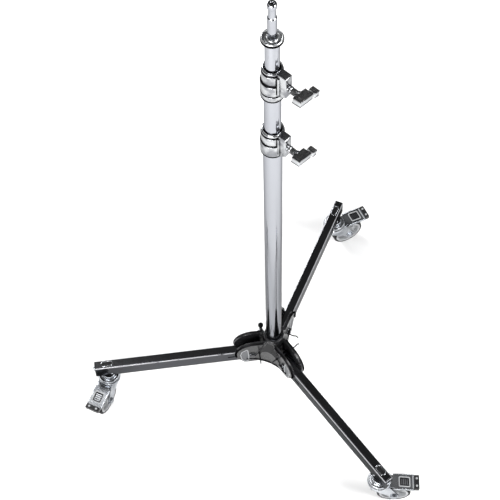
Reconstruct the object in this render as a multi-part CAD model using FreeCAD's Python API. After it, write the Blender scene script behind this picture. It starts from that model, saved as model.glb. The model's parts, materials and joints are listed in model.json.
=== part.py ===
# Roller stand: a column of three chromed tubes on three folding legs with braked casters.
# Millimetres, +Z up. The origin lies on the floor under the column's axis.
import FreeCAD, Part
import math
import os

V = FreeCAD.Vector
UP = V(0, 0, 1)

# Clearances
running_gap = 0.05  # round a shaft that turns or slides in its hole
seat_gap = 0.03  # round a piece that is pushed home and stays there
face_gap = 0.3  # between neighbours that move past each other
overrun = 5.0  # how far a cutter passes the surface that it cuts
edge_break = 1.2  # bevel on the cast and turned edges

# Casters, counted up from the floor
wheel_radius = 37.5
wheel_width = 24.0
tyre_thickness = 5.0
tyre_shoulder = 3.0
rim_depth = 5.0
rim_inset = 1.0
wheel_web = 6.0
wheel_hub_radius = 11.0
web_hole_count = 5
web_hole_radius = 4.5
axle_radius = 4.0
bolt_head_height = 4.0
axle_head_across = 13.0
trail = 35.0
wheel_headroom = 10.0
fork_side_gap = 2.5
fork_plate = 3.0
axle_boss_radius = 11.0
crown_height = 18.2
crown_radius = 25.0
crown_shoulder_radius = 22.0
crown_neck_radius = 17.0
crown_plate = 2.0
race_height = 6.5
race_radius = 15.0
stem_radius = 5.0
stem_reach = 18.0
keeper_radius = 9.0
keeper_height = 4.0
left_caster_azimuth = 238.0
front_caster_azimuth = -8.3
back_caster_azimuth = 20.0
fork_crown_shares = [(-0.76, 0.0), (0.92, 0.0), (1.08, -0.32)]
fork_heel_share = -0.68

# Brake plate on top of each caster
brake_pivot_along = 20.0
brake_pivot_drop = 6.0
brake_pivot_radius = 2.0
brake_plate_thickness = 2.5
brake_plate_start = 21.5
brake_bend_along = 50.0
brake_plate_end = 78.0
brake_plate_slope_drop = 5.0
brake_half_width = 17.5
brake_flange = 2.0
brake_flange_depth = 6.0
brake_flange_start = 31.0
brake_ear = 1.9
brake_ear_start = 17.0
brake_ear_end = 27.0
shoe_start = 56.0
shoe_end = 66.0
shoe_depth = 14.0
shoe_half_width = 9.0
shoe_gap = 4.0
pedal_end = 88.0
pedal_rise = 3.0
pedal_height = 10.0
pedal_half_width = 16.0
pedal_round = 2.5
stamp_start = 45.0
stamp_end = 67.0
stamp_half_width = 10.0
stamp_depth = 0.8

# Legs
leg_width = 20.0
leg_height = 40.0
leg_wall = 2.0
leg_reach = 404.0
heel_along = 28.0
heel_block_length = 38.0
pivot_along = 50.0
pivot_drop = 12.0
pivot_radius = 4.0
pivot_head_across = 13.0
pivot_nut_height = 6.5
pivot_spot_radius = 8.5
swivel_inset = 28.0
insert_length = 24.0
cap_plate = 3.0
cap_plug_length = 8.0
cap_screw_drop = 15.0
cap_screw_radius = 2.0
cap_head_radius = 5.5
cap_head_height = 3.5
oval_length = 28.0
oval_width = 14.0
oval_rise = 1.2
oval_rim = 2.2
oval_neck_depth = 5.0
oval_pocket_depth = 2.5
leg_corner = 3.0
left_leg_azimuth = 180.0
front_leg_azimuth = 300.0
back_leg_azimuth = 60.0

# Hub casting
hub_drop = 3.0
hub_floor = 3.0
hub_floor_bore = 14.0
hub_sleeve_radius = 22.0
hub_height = 97.0
cheek_thickness = 4.7
arch_along = 46.0
arch_radius = 43.0
toe_along = 68.0
knee_along = 78.0
knee_rise = 15.0
panel_depth = 1.3
panel_shares = [
    (0.72, -0.14), (0.64, 0.21), (0.40, 0.42), (0.34, 0.36),
    (0.29, -0.28), (0.31, -0.84), (0.49, -0.92), (0.66, -0.63),
]
web_curve_radius = 95.0
web_foot_rise = 13.0
web_top_drop = 14.0
web_slope = 2.1
leg_pin_radius = 3.0
leg_pin_wire_radius = 1.5
leg_pin_reach = 34.0
leg_pin_peak_reach = 6.0
leg_pin_peak_rise = 4.5
leg_pin_tip_reach = 4.5
leg_pin_tip_drop = 5.5
set_screw_radius = 3.0
set_screw_drop = 8.0
set_screw_proud = 1.0
plug_height = 20.0

# Lock plunger on the hub, beside the left leg
plunger_along = 25.5
plunger_aside = 30.5
plunger_boss_radius = 7.0
plunger_boss_rise = 12.0
plunger_rib_half_width = 4.0
plunger_radius = 3.0
plunger_nose_rise = 6.0
plunger_flange_radius = 5.5
plunger_flange = 2.0
plunger_stem_rise = 27.0
knob_height = 7.0
knob_radius = 5.5
knob_bevel = 1.5

# Column tubes
base_tube_radius = 17.5
middle_tube_radius = 15.0
top_tube_radius = 12.5
tube_wall = 1.5
base_tube_length = 893.0
middle_tube_extra = 133.0  # how much longer the middle tube is than the base tube
top_tube_extra = 41.0  # how much longer the top tube is than the middle tube
guide_skirt = 24.0
guide_spigot = 20.0
guide_bore = 6.0

# Collars at the mouths of the base tube and the middle tube
collar_head = 14.0
guide_ring_height = 10.0
lip_gap = 0.4
ring_height = 8.0
ring_wall = 2.7
band_wall = 3.8
lower_band_height = 23.0
lower_skirt_height = 32.0
lower_skirt_wall = 5.0
upper_band_height = 25.0
upper_skirt_height = 28.0
upper_rim_height = 14.0
upper_skirt_wall = 5.8
boss_reach = 36.0
boss_half_width = 7.75
boss_face_height = 50.0
boss_height = 62.0
boss_azimuth = -48.3

# Clamp screws and handles
clamp_drop = 30.0
clamp_screw_radius = 4.0
pad_radius = 6.5
pad_reach = 3.5
neck_radius = 6.0
neck_gap = 0.5
neck_length = 22.0
handle_depth = 15.0
handle_thickness = 12.0
handle_screw_hold = 9.0
handle_tilt = -13.0
handle_near = 16.0
handle_far = 15.5
handle_notch = 4.0
handle_notch_depth = 8.0
handle_tail = 30.0
handle_tail_inset = 3.0
handle_tail_proud = 1.5
handle_round = 1.5

# Stud and its socket
socket_spigot = 30.0
socket_rim_radius = 18.5
socket_rim_height = 7.0
socket_dish_radius = 15.3
socket_dish_depth = 4.5
socket_cone_radius = 12.0
socket_lip = 1.2
stud_radius = 8.0
stud_shank_radius = 7.5
stud_relief = 1.0
stud_hold = 25.0
stud_stand = 83.0
stud_head = 10.0
stud_groove = 24.0
stud_neck_radius = 6.3
stud_bevel = 1.7
stud_recess_radius = 2.5
stud_recess_depth = 6.0

# Heights and reaches that follow from the sizes above
leg_azimuths = {"left": left_leg_azimuth, "front": front_leg_azimuth, "back": back_leg_azimuth}
caster_azimuths = {
    "left": left_caster_azimuth, "front": front_caster_azimuth, "back": back_caster_azimuth,
}
middle_tube_length = base_tube_length + middle_tube_extra
top_tube_length = middle_tube_length + top_tube_extra
crown_low = 2 * wheel_radius + wheel_headroom
crown_top = crown_low + crown_height
race_low = crown_top + face_gap
leg_low = race_low + race_height
leg_top = leg_low + leg_height
pivot_z = leg_top - pivot_drop
hub_foot = leg_low - hub_drop
hub_top = hub_foot + hub_height
fork_inner = wheel_width / 2 + fork_side_gap
fork_outer = fork_inner + fork_plate
cheek_inner = leg_width / 2 + face_gap
cheek_outer = cheek_inner + cheek_thickness
leg_inner_half = leg_width / 2 - leg_wall
swivel_along = leg_reach - swivel_inset
base_tube_low = hub_foot + hub_floor
base_tube_top = base_tube_low + base_tube_length
plug_top = base_tube_low + plug_height
middle_tube_low = plug_top + guide_skirt
middle_tube_top = middle_tube_low + middle_tube_length
top_guide_low = middle_tube_low + guide_spigot
top_tube_low = top_guide_low + guide_skirt
top_tube_top = top_tube_low + top_tube_length
plunger_boss_top = leg_top + plunger_boss_rise
leg_pin_z = leg_top + face_gap + leg_pin_radius
# folded, the leg's top face stands this far from the column's axis, and the pin clears it
leg_pin_along = pivot_along - pivot_drop - face_gap - leg_pin_radius


def disc(radius, low, high, x=0, y=0):
    """Upright cylinder between two heights."""
    return Part.makeCylinder(radius, high - low, V(x, y, low))


def sleeve(outer, inner, low, high):
    """Upright tube about the column's axis."""
    return disc(outer, low, high).cut(disc(inner, low - overrun, high + overrun))


def bar(start, end, radius):
    """Round bar from one point to another."""
    run = end - start
    return Part.makeCylinder(radius, run.Length, start, run)


def slab(x_low, x_high, half_width, z_low, z_high):
    """Box that is centred across its own direction."""
    corner = V(x_low, -half_width, z_low)
    return Part.makeBox(x_high - x_low, 2 * half_width, z_high - z_low, corner)


def hex_bar(start, end, across):
    """Six-sided bar, measured across its flats."""
    run = end - start
    corner = across / 2 / math.cos(math.pi / 6)
    angles = [k * math.pi / 3 for k in range(6)]
    ring = [V(corner * math.cos(a), corner * math.sin(a), 0) for a in angles]
    prism = Part.Face(Part.makePolygon(ring + ring[:1])).extrude(UP * run.Length)
    prism.Placement = FreeCAD.Placement(start, FreeCAD.Rotation(UP, run))
    return prism


def turned(outline):
    """Solid turned about the upright axis from (radius, height) points."""
    wire = Part.makePolygon([V(r, 0, z) for r, z in outline + outline[:1]])
    return Part.Face(wire).revolve(V(0, 0, 0), UP, 360)


def upright_plate(outline, y_low, y_high):
    """Plate from (along, height) points, given its thickness across."""
    wire = Part.makePolygon([V(x, y_low, z) for x, z in outline + outline[:1]])
    return Part.Face(wire).extrude(V(0, y_high - y_low, 0))


def stadium(length, width, low, high, x):
    """Upright solid with a straight-sided oval outline."""
    reach = (length - width) / 2
    middle = slab(x - reach, x + reach, width / 2, low, high)
    ends = [disc(width / 2, low, high, x - reach), disc(width / 2, low, high, x + reach)]
    return middle.fuse(ends).removeSplitter()


def swung(shape, azimuth, x=0, y=0):
    """Copy turned about the upright axis by an azimuth, then moved."""
    copy = shape.copy()
    copy.rotate(V(0, 0, 0), UP, azimuth)
    copy.translate(V(x, y, 0))
    return copy


def on_legs(shape):
    """Three copies, one for each leg."""
    return [swung(shape, azimuth) for azimuth in leg_azimuths.values()]


def save(name, shape):
    """Write one node, made of one solid or of a group of them."""
    if isinstance(shape, list):
        shape = Part.makeCompound(shape)
    shape.exportStep("parts/" + name + ".step")


# Hub


def cheek_outline(y):
    """Closed wire of a hinge cheek, standing at y: flat foot, sloped toe, round arch."""
    centre = V(arch_along, y, leg_top)
    nose = centre + V(arch_radius, 0, 0)
    crown = centre + V(0, 0, arch_radius)
    middle = centre + V(arch_radius, 0, arch_radius) * math.sin(math.pi / 4)
    middle.y = y
    path = [
        crown, V(0, y, crown.z), V(0, y, hub_foot), V(toe_along, y, hub_foot),
        V(knee_along, y, hub_foot + knee_rise), V(nose.x, y, pivot_z), nose,
    ]
    return Part.Wire([Part.Arc(nose, middle, crown).toShape()] + Part.makePolygon(path).Edges)


def cheek(side):
    """One hinge cheek with the sunk panel on its outer face."""
    outer = side * cheek_outer
    plate = Part.Face(cheek_outline(outer)).extrude(V(0, -side * cheek_thickness, 0))
    centre = V(arch_along, outer, leg_top)
    panel = [centre + V(x * arch_radius, 0, z * arch_radius) for x, z in panel_shares]
    face = Part.Face(Part.makePolygon(panel + panel[:1]))
    return plate.cut(face.extrude(V(0, -side * panel_depth, 0)))


def web():
    """Curved skirt in one bay between two legs, with a top that slopes away from the sleeve."""
    across = math.tan(math.pi / 3)
    tangent = (web_curve_radius + cheek_outer) / across
    slant = math.sin(math.pi / 3)
    nearest = cheek_outer / slant + web_curve_radius * (1 / slant - 1)
    foot = hub_foot + web_foot_rise
    top = hub_top - web_top_drop
    first = V(tangent, cheek_outer, foot)
    turn = FreeCAD.Rotation(UP, 120)
    last = turn.multVec(V(tangent, -cheek_outer, foot))
    middle = FreeCAD.Rotation(UP, 60).multVec(V(nearest, 0, foot))
    axis = V(0, 0, foot)
    edges = [Part.Arc(first, middle, last).toShape()]
    edges += Part.makePolygon([last, axis, first]).Edges
    prism = Part.Face(Part.Wire(edges)).extrude(UP * (top - foot))
    wide = hub_sleeve_radius + (top - foot) / web_slope
    cone = Part.makeCone(wide, hub_sleeve_radius, top - foot, axis)
    return prism.common(cone)


def hub_casting():
    """Sleeve, three forked hinge arms, the skirts between them and the plunger bosses."""
    foot = hub_foot + web_foot_rise
    boss = disc(plunger_boss_radius, foot, plunger_boss_top, plunger_along, -plunger_aside)
    rib = slab(0, math.hypot(plunger_along, plunger_aside), plunger_rib_half_width, foot, plunger_boss_top)
    rib = swung(rib, -math.degrees(math.atan2(plunger_aside, plunger_along)))
    arms = on_legs(cheek(1)) + on_legs(cheek(-1)) + on_legs(web())
    arms += [swung(boss, left_leg_azimuth), swung(rib, left_leg_azimuth)]
    body = arms[0].fuse(arms[1:])
    far = toe_along + arch_radius
    slot = slab(0, far, cheek_inner, hub_foot - overrun, hub_top + overrun)
    body = body.cut(on_legs(slot))
    body = body.fuse(disc(hub_sleeve_radius, hub_foot, hub_top)).removeSplitter()
    bore = disc(base_tube_radius + seat_gap, base_tube_low, hub_top + overrun)
    floor_hole = disc(hub_floor_bore, hub_foot - overrun, hub_top)
    side = V(0, leg_pin_reach, 0)
    pin_place = V(leg_pin_along, 0, leg_pin_z)
    pin_hole = bar(pin_place - side, pin_place + side, leg_pin_radius + running_gap)
    bolt_place = V(pivot_along, 0, pivot_z)
    bolt_hole = bar(bolt_place - side, bolt_place + side, pivot_radius + seat_gap)
    spots = []
    for face in (-cheek_outer, cheek_outer):
        start = V(pivot_along, face, pivot_z)
        outward = V(0, math.copysign(pivot_nut_height + overrun, face), 0)
        spots += on_legs(bar(start, start + outward, pivot_spot_radius))
    stem_hole = disc(plunger_radius + running_gap, foot - overrun, hub_top, plunger_along, -plunger_aside)
    flange_seat = disc(plunger_flange_radius + face_gap, plunger_boss_top, hub_top,
                       plunger_along, -plunger_aside)
    cutters = [bore, floor_hole] + spots + set_screws(set_screw_radius + seat_gap)
    cutters += [swung(stem_hole, left_leg_azimuth), swung(flange_seat, left_leg_azimuth)]
    return body.cut(cutters + on_legs(pin_hole) + on_legs(bolt_hole))


def set_screws(radius):
    """Three short radial screws that bear on the base tube, midway between the legs."""
    z = hub_top - set_screw_drop
    screw = bar(V(base_tube_radius, 0, z), V(hub_sleeve_radius + set_screw_proud, 0, z), radius)
    return [swung(screw, azimuth + 60) for azimuth in leg_azimuths.values()]


def pivot_bolt():
    """Hinge bolt of one leg, its head against the left cheek."""
    head = V(pivot_along, cheek_outer, pivot_z)
    tip = V(pivot_along, -cheek_outer - pivot_nut_height, pivot_z)
    shank = bar(tip, head, pivot_radius)
    return shank.fuse(hex_bar(head, head + V(0, bolt_head_height, 0), pivot_head_across))


def pivot_nut():
    """Nut of one hinge bolt."""
    face = V(pivot_along, -cheek_outer, pivot_z)
    outer = face - V(0, pivot_nut_height, 0)
    nut = hex_bar(face, outer, pivot_head_across)
    return nut.cut(bar(face + V(0, overrun, 0), outer - V(0, overrun, 0), pivot_radius + seat_gap))


def leg_pin():
    """Pull pin across one fork above the leg's heel: a thick shaft, a thin tail and a bent pull end."""
    place = V(leg_pin_along, 0, leg_pin_z)
    thick = V(0, cheek_outer, 0)
    tail = place - V(0, leg_pin_reach, 0)
    bend = place + V(0, leg_pin_reach, 0)
    peak = bend + V(0, leg_pin_peak_reach, leg_pin_peak_rise)
    tip = peak + V(0, leg_pin_tip_reach, -leg_pin_tip_drop)
    wires = ((tail, bend), (bend, peak), (peak, tip))
    pieces = [bar(start, end, leg_pin_wire_radius) for start, end in wires]
    pieces += [Part.makeSphere(leg_pin_wire_radius, corner) for corner in (bend, peak)]
    return bar(place - thick, place + thick, leg_pin_radius).fuse(pieces).removeSplitter()


def foot_plug():
    """Plastic plug that closes the base tube and stops the middle riser."""
    plug = disc(base_tube_radius - tube_wall - seat_gap, base_tube_low, plug_top)
    return plug.fuse(disc(hub_floor_bore - seat_gap, hub_foot, base_tube_low))


def lock_plunger():
    """Pull pin with a flange that rests on its boss and a round knob."""
    stem_top = plunger_boss_top + plunger_stem_rise
    knob_top = stem_top + knob_height
    flange_top = plunger_boss_top + plunger_flange
    return turned([
        (0, hub_foot + web_foot_rise + plunger_nose_rise),
        (plunger_radius, hub_foot + web_foot_rise + plunger_nose_rise),
        (plunger_radius, plunger_boss_top), (plunger_flange_radius, plunger_boss_top),
        (plunger_flange_radius, flange_top), (plunger_radius, flange_top),
        (plunger_radius, stem_top), (knob_radius - knob_bevel, stem_top),
        (knob_radius, stem_top + knob_bevel), (knob_radius, knob_top - knob_bevel),
        (knob_radius - knob_bevel, knob_top), (0, knob_top),
    ])


# Column


def riser_guide(outer_radius, riser_radius, low):
    """Bush on a riser's foot: a skirt that runs in the outer tube and a spigot in the riser."""
    skirt_top = low + guide_skirt
    spigot_top = skirt_top + guide_spigot
    body = disc(outer_radius - tube_wall - running_gap, low, skirt_top)
    body = body.fuse(disc(riser_radius - tube_wall - running_gap, skirt_top, spigot_top))
    return body.cut(disc(guide_bore, low - overrun, spigot_top + overrun))


def clamp_height(tube_top):
    """Height of the clamp screw of the collar on a tube's mouth."""
    return tube_top + collar_head - clamp_drop


def windowed_tube(radius, low, high):
    """Column tube with the window that the brake pad reaches through."""
    z = clamp_height(high)
    window = bar(V(0, 0, z), V(radius + overrun, 0, z), pad_radius + face_gap)
    return sleeve(radius, radius - tube_wall, low, high).cut(swung(window, boss_azimuth))


def collar(tube_radius, riser_radius, tube_top, bands):
    """Cast collar of stacked bands with a boss for the clamp screw.

    The bands are (height, wall) pairs from the lowest to the highest."""
    top = tube_top + collar_head
    z = top - sum(height for height, wall in bands)
    outline = [(0, z)]
    for height, wall in bands:
        radius = tube_radius + wall
        outline += [(radius - edge_break, z), (radius, z + edge_break)]
        z += height
        outline += [(radius, z - edge_break), (radius - edge_break, z)]
    outline.append((0, top))
    boss = upright_plate([
        (tube_radius, top), (boss_reach - edge_break, top), (boss_reach, top - edge_break),
        (boss_reach, top - boss_face_height), (tube_radius + ring_wall, top - boss_height),
        (tube_radius, top - boss_height),
    ], -boss_half_width, boss_half_width)
    body = turned(outline).fuse(swung(boss, boss_azimuth)).removeSplitter()
    seat = disc(tube_radius + seat_gap, -overrun, tube_top + guide_ring_height)
    mouth = disc(riser_radius + lip_gap, 0, top + overrun)
    z = clamp_height(tube_top)
    pocket = bar(V(0, 0, z), V(tube_radius + pad_reach, 0, z), pad_radius + seat_gap)
    thread = bar(V(0, 0, z), V(boss_reach + overrun, 0, z), clamp_screw_radius + running_gap)
    return body.cut([seat, mouth, swung(pocket, boss_azimuth), swung(thread, boss_azimuth)])


def guide_ring(tube_radius, riser_radius, tube_top):
    """Plastic ring in the collar's mouth that the riser runs in."""
    return sleeve(tube_radius, riser_radius + running_gap, tube_top, tube_top + guide_ring_height)


def brake_pad(tube_radius, riser_radius, tube_top):
    """Pad between the clamp screw and the riser, hollowed to the riser's curve."""
    z = clamp_height(tube_top)
    pad = bar(V(0, 0, z), V(tube_radius + pad_reach, 0, z), pad_radius)
    hollow = disc(riser_radius + face_gap, z - pad_radius - overrun, z + pad_radius + overrun)
    return swung(pad.cut(hollow), boss_azimuth)


def clamp_screw(tube_radius, tube_top):
    """Screw from the pad to its hold inside the handle."""
    z = clamp_height(tube_top)
    tip = boss_reach + neck_gap + neck_length + handle_screw_hold
    return swung(bar(V(tube_radius + pad_reach, 0, z), V(tip, 0, z), clamp_screw_radius), boss_azimuth)


def clamp_handle(tube_top):
    """Cast T-handle: a round neck, a broad bar, a notch and a small tail."""
    z = clamp_height(tube_top)
    start = boss_reach + neck_gap
    near = start + neck_length
    far = near + handle_depth
    outline = [
        (near, -handle_near), (far, -handle_near), (far, handle_far),
        (far + handle_tail_proud, handle_far + handle_notch), (far + handle_tail_proud, handle_tail),
        (near + handle_tail_inset, handle_tail),
        (near + handle_tail_inset, handle_far + handle_notch),
        (near + handle_notch_depth, handle_far + handle_notch),
        (near + handle_notch_depth, handle_far), (near, handle_far),
    ]
    low = z - handle_thickness / 2
    wire = Part.makePolygon([V(x, y, low) for x, y in outline + outline[:1]])
    bar_solid = Part.Face(wire).extrude(UP * handle_thickness)
    bar_solid = bar_solid.makeFillet(handle_round / 2, bar_solid.Edges)
    neck = bar(V(start, 0, z), V(near + handle_screw_hold, 0, z), neck_radius)
    body = bar_solid.fuse(neck).removeSplitter()
    hole = bar(V(0, 0, z), V(near + handle_screw_hold, 0, z), clamp_screw_radius + seat_gap)
    body = body.cut(hole)
    body.rotate(V(0, 0, z), V(1, 0, 0), handle_tilt)
    return swung(body, boss_azimuth)


def stud_socket():
    """Flanged cup in the top tube's mouth, dished round a cone at the stud's foot."""
    rim_top = top_tube_top + socket_rim_height
    dish = rim_top - socket_dish_depth
    spigot = top_tube_radius - tube_wall - seat_gap
    hole = stud_shank_radius + seat_gap
    return turned([
        (0, top_tube_top - socket_spigot), (spigot, top_tube_top - socket_spigot),
        (spigot, top_tube_top), (socket_rim_radius - edge_break, top_tube_top),
        (socket_rim_radius, top_tube_top + edge_break), (socket_rim_radius, rim_top),
        (socket_dish_radius, rim_top), (socket_dish_radius - edge_break, dish),
        (socket_cone_radius, dish), (hole + socket_lip, rim_top), (hole, rim_top),
        (hole, top_tube_top - stud_hold), (0, top_tube_top - stud_hold),
    ])


def stud():
    """Round stud on a thinner shank, with a groove under its head and a small recess on top."""
    low = top_tube_top - stud_hold
    foot = top_tube_top + socket_rim_height + stud_relief
    top = foot - stud_relief + stud_stand
    head_low = top - stud_head
    groove_low = head_low - stud_groove
    return turned([
        (0, low), (stud_shank_radius, low), (stud_shank_radius, foot), (stud_radius, foot),
        (stud_radius, groove_low),
        (stud_neck_radius, groove_low + stud_bevel), (stud_neck_radius, head_low - stud_bevel),
        (stud_radius, head_low), (stud_radius, top - stud_bevel), (stud_radius - stud_bevel, top),
        (stud_recess_radius, top), (stud_recess_radius, top - stud_recess_depth),
        (0, top - stud_recess_depth),
    ])


# Legs, each built along +X


def long_edges(block, length):
    """The four edges of a block that run the given length along the leg."""
    return [edge for edge in block.Edges if abs(edge.BoundBox.XLength - length) < seat_gap]


def leg_tube():
    """Rectangular tube with the caster's threaded insert welded inside."""
    end = leg_reach - cap_plate
    tube = slab(heel_along, end, leg_width / 2, leg_low, leg_top)
    tube = tube.makeFillet(leg_corner, long_edges(tube, end - heel_along))
    hollow = slab(heel_along - overrun, end + overrun, leg_inner_half,
                  leg_low + leg_wall, leg_top - leg_wall)
    insert_top = leg_low + leg_wall + stem_reach
    half = insert_length / 2
    insert = slab(swivel_along - half, swivel_along + half, leg_inner_half, leg_low, insert_top)
    body = tube.cut(hollow).fuse(insert).removeSplitter()
    place = V(pivot_along, 0, pivot_z)
    side = V(0, leg_width, 0)
    bolt_hole = bar(place - side, place + side, pivot_radius + face_gap)
    stem_hole = disc(stem_radius + seat_gap, leg_low - overrun, leg_low + leg_height / 2, swivel_along)
    neck_length = oval_length - 2 * oval_rim
    neck_width = oval_width - 2 * oval_rim
    oval = stadium(neck_length + seat_gap, neck_width + seat_gap, leg_top - leg_height / 4,
                   leg_top + overrun, swivel_along)
    return body.cut([bolt_hole, stem_hole, oval])


def heel_block():
    """Plastic block in the leg's inner end, bored for the hinge bolt."""
    low = leg_low + leg_wall + seat_gap
    high = leg_top - leg_wall - seat_gap
    block = slab(heel_along, heel_along + heel_block_length, leg_inner_half - seat_gap, low, high)
    place = V(pivot_along, 0, pivot_z)
    side = V(0, leg_width, 0)
    return block.cut(bar(place - side, place + side, pivot_radius + running_gap))


def cap_screw_z():
    """Height of the end cap's screw."""
    return leg_top - cap_screw_drop


def end_cap():
    """End cap with a plug inside the tube and a rounded outer plate."""
    inner = leg_reach - cap_plate
    plate = slab(inner, leg_reach, leg_width / 2, leg_low, leg_top)
    plate = plate.makeFillet(leg_corner, long_edges(plate, cap_plate))
    rounded = [edge for edge in plate.Edges if min(v.X for v in edge.Vertexes) > inner + cap_plate / 2]
    plate = plate.makeFillet(edge_break, rounded)
    plug = slab(inner - cap_plug_length, inner, leg_inner_half - seat_gap,
                leg_low + leg_wall + seat_gap, leg_top - leg_wall - seat_gap)
    z = cap_screw_z()
    hole = bar(V(0, 0, z), V(leg_reach + overrun, 0, z), cap_screw_radius + seat_gap)
    return plate.fuse(plug).removeSplitter().cut(hole)


def cap_screw():
    """Screw with a domed head in the end cap."""
    z = cap_screw_z()
    shank = bar(V(leg_reach - cap_plate - cap_plug_length, 0, z), V(leg_reach, 0, z), cap_screw_radius)
    ball_radius = (cap_head_radius ** 2 + cap_head_height ** 2) / (2 * cap_head_height)
    ball = Part.makeSphere(ball_radius, V(leg_reach + cap_head_height - ball_radius, 0, z))
    head = bar(V(leg_reach, 0, z), V(leg_reach + 2 * cap_head_height, 0, z), 2 * cap_head_radius)
    return shank.fuse(ball.common(head)).removeSplitter()


def oval_plug():
    """Oval plug over the hole above the caster's stem."""
    neck_length = oval_length - 2 * oval_rim
    neck_width = oval_width - 2 * oval_rim
    top = leg_top + oval_rise
    plug = stadium(oval_length, oval_width, leg_top, top, swivel_along)
    neck = stadium(neck_length - seat_gap, neck_width - seat_gap, leg_top - oval_neck_depth,
                   leg_top, swivel_along)
    pocket = stadium(neck_length - oval_rim, neck_width - oval_rim, top - oval_pocket_depth,
                     top + overrun, swivel_along)
    return plug.fuse(neck).removeSplitter().cut(pocket)


# Casters, each built about its own swivel axis with the wheel trailing along +X


def swivel_race():
    """Upper race with its king stem: threaded up into the leg, headed below the fork's crown."""
    keeper_top = crown_low - face_gap
    stem_top = leg_low + leg_wall + stem_reach
    return turned([
        (0, keeper_top - keeper_height), (keeper_radius, keeper_top - keeper_height),
        (keeper_radius, keeper_top), (stem_radius, keeper_top), (stem_radius, race_low),
        (race_radius - edge_break, race_low), (race_radius, race_low + edge_break),
        (race_radius, leg_low), (stem_radius, leg_low), (stem_radius, stem_top), (0, stem_top),
    ])


def fork():
    """Stepped swivel housing with two cheeks that reach down to the axle."""
    step = crown_height / 5
    crown = turned([
        (0, crown_low), (crown_radius - edge_break, crown_low),
        (crown_radius, crown_low + edge_break), (crown_radius, crown_low + 2 * step),
        (crown_shoulder_radius, crown_low + 3 * step), (crown_shoulder_radius, crown_top - step),
        (crown_neck_radius, crown_top - step), (crown_neck_radius, crown_top), (0, crown_top),
    ])
    top = crown_low + crown_plate
    outline = [(x * crown_radius, top + z * crown_radius) for x, z in fork_crown_shares]
    outline += [
        (trail + axle_boss_radius, wheel_radius), (trail - axle_boss_radius, wheel_radius),
        (fork_heel_share * crown_radius, crown_low - wheel_headroom),
    ]
    cheeks = []
    for side in (-1, 1):
        low, high = sorted((side * fork_inner, side * fork_outer))
        cheeks.append(upright_plate(outline, low, high))
        cheeks.append(bar(V(trail, low, wheel_radius), V(trail, high, wheel_radius), axle_boss_radius))
    bridge = slab(outline[0][0], brake_ear_start - face_gap, fork_outer, crown_low, top)
    body = crown.fuse(cheeks + [bridge]).removeSplitter()
    side = V(0, fork_outer + overrun, 0)
    axle = V(trail, 0, wheel_radius)
    pivot = V(brake_pivot_along, 0, crown_low - brake_pivot_drop)
    return body.cut([
        disc(stem_radius + running_gap, 0, crown_top + overrun),
        bar(axle - side, axle + side, axle_radius + seat_gap),
        bar(pivot - side, pivot + side, brake_pivot_radius + running_gap),
    ])


def axle_set():
    """Axle bolt and its nut, as two solids."""
    left = V(trail, fork_outer, wheel_radius)
    right = V(trail, -fork_outer, wheel_radius)
    out = V(0, bolt_head_height, 0)
    bolt = bar(right - out, left, axle_radius).fuse(hex_bar(left, left + out, axle_head_across))
    nut = hex_bar(right, right - out, axle_head_across)
    nut = nut.cut(bar(right + out, right - 2 * out, axle_radius + seat_gap))
    return [bolt, nut]


def on_axle(shape):
    """Shape that was turned about the upright axis at the origin, set on the axle."""
    copy = shape.copy()
    copy.rotate(V(0, 0, 0), V(1, 0, 0), 90)
    copy.translate(V(trail, 0, wheel_radius))
    return copy


def wheel():
    """Wheel centre: long hub, thin web with round holes and a wide rim."""
    rim = wheel_radius - tyre_thickness
    half_rim = wheel_width / 2 - rim_inset
    half_web = wheel_web / 2
    half_hub = fork_inner - face_gap
    bore = axle_radius + running_gap
    upper = [
        (bore, half_hub), (wheel_hub_radius, half_hub), (wheel_hub_radius, half_web),
        (rim - rim_depth, half_web), (rim - rim_depth, half_rim), (rim, half_rim),
    ]
    lower = [(r, -z) for r, z in reversed(upper)]
    body = turned(upper + lower)
    ring_radius = (rim - rim_depth + wheel_hub_radius) / 2
    hole = disc(web_hole_radius, -wheel_web, wheel_web, ring_radius)
    holes = [swung(hole, k * 360 / web_hole_count) for k in range(web_hole_count)]
    return on_axle(body.cut(holes))


def tyre():
    """Solid tyre with bevelled shoulders."""
    inner = wheel_radius - tyre_thickness + seat_gap
    half = wheel_width / 2
    upper = [(inner, half), (wheel_radius - tyre_shoulder, half),
             (wheel_radius - tyre_shoulder / 4, half - tyre_shoulder / 2),
             (wheel_radius, half - 1.5 * tyre_shoulder)]
    lower = [(r, -z) for r, z in reversed(upper)]
    return on_axle(turned(upper + lower))


def brake_outline(lift):
    """Side outline of the brake plate, raised by lift."""
    top = crown_low - edge_break + lift
    low = top - brake_plate_slope_drop
    under = brake_plate_thickness
    return [
        (brake_plate_start, top), (brake_bend_along, top), (brake_plate_end, low),
        (brake_plate_end, low - under), (brake_bend_along, top - under),
        (brake_plate_start, top - under),
    ]


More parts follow.
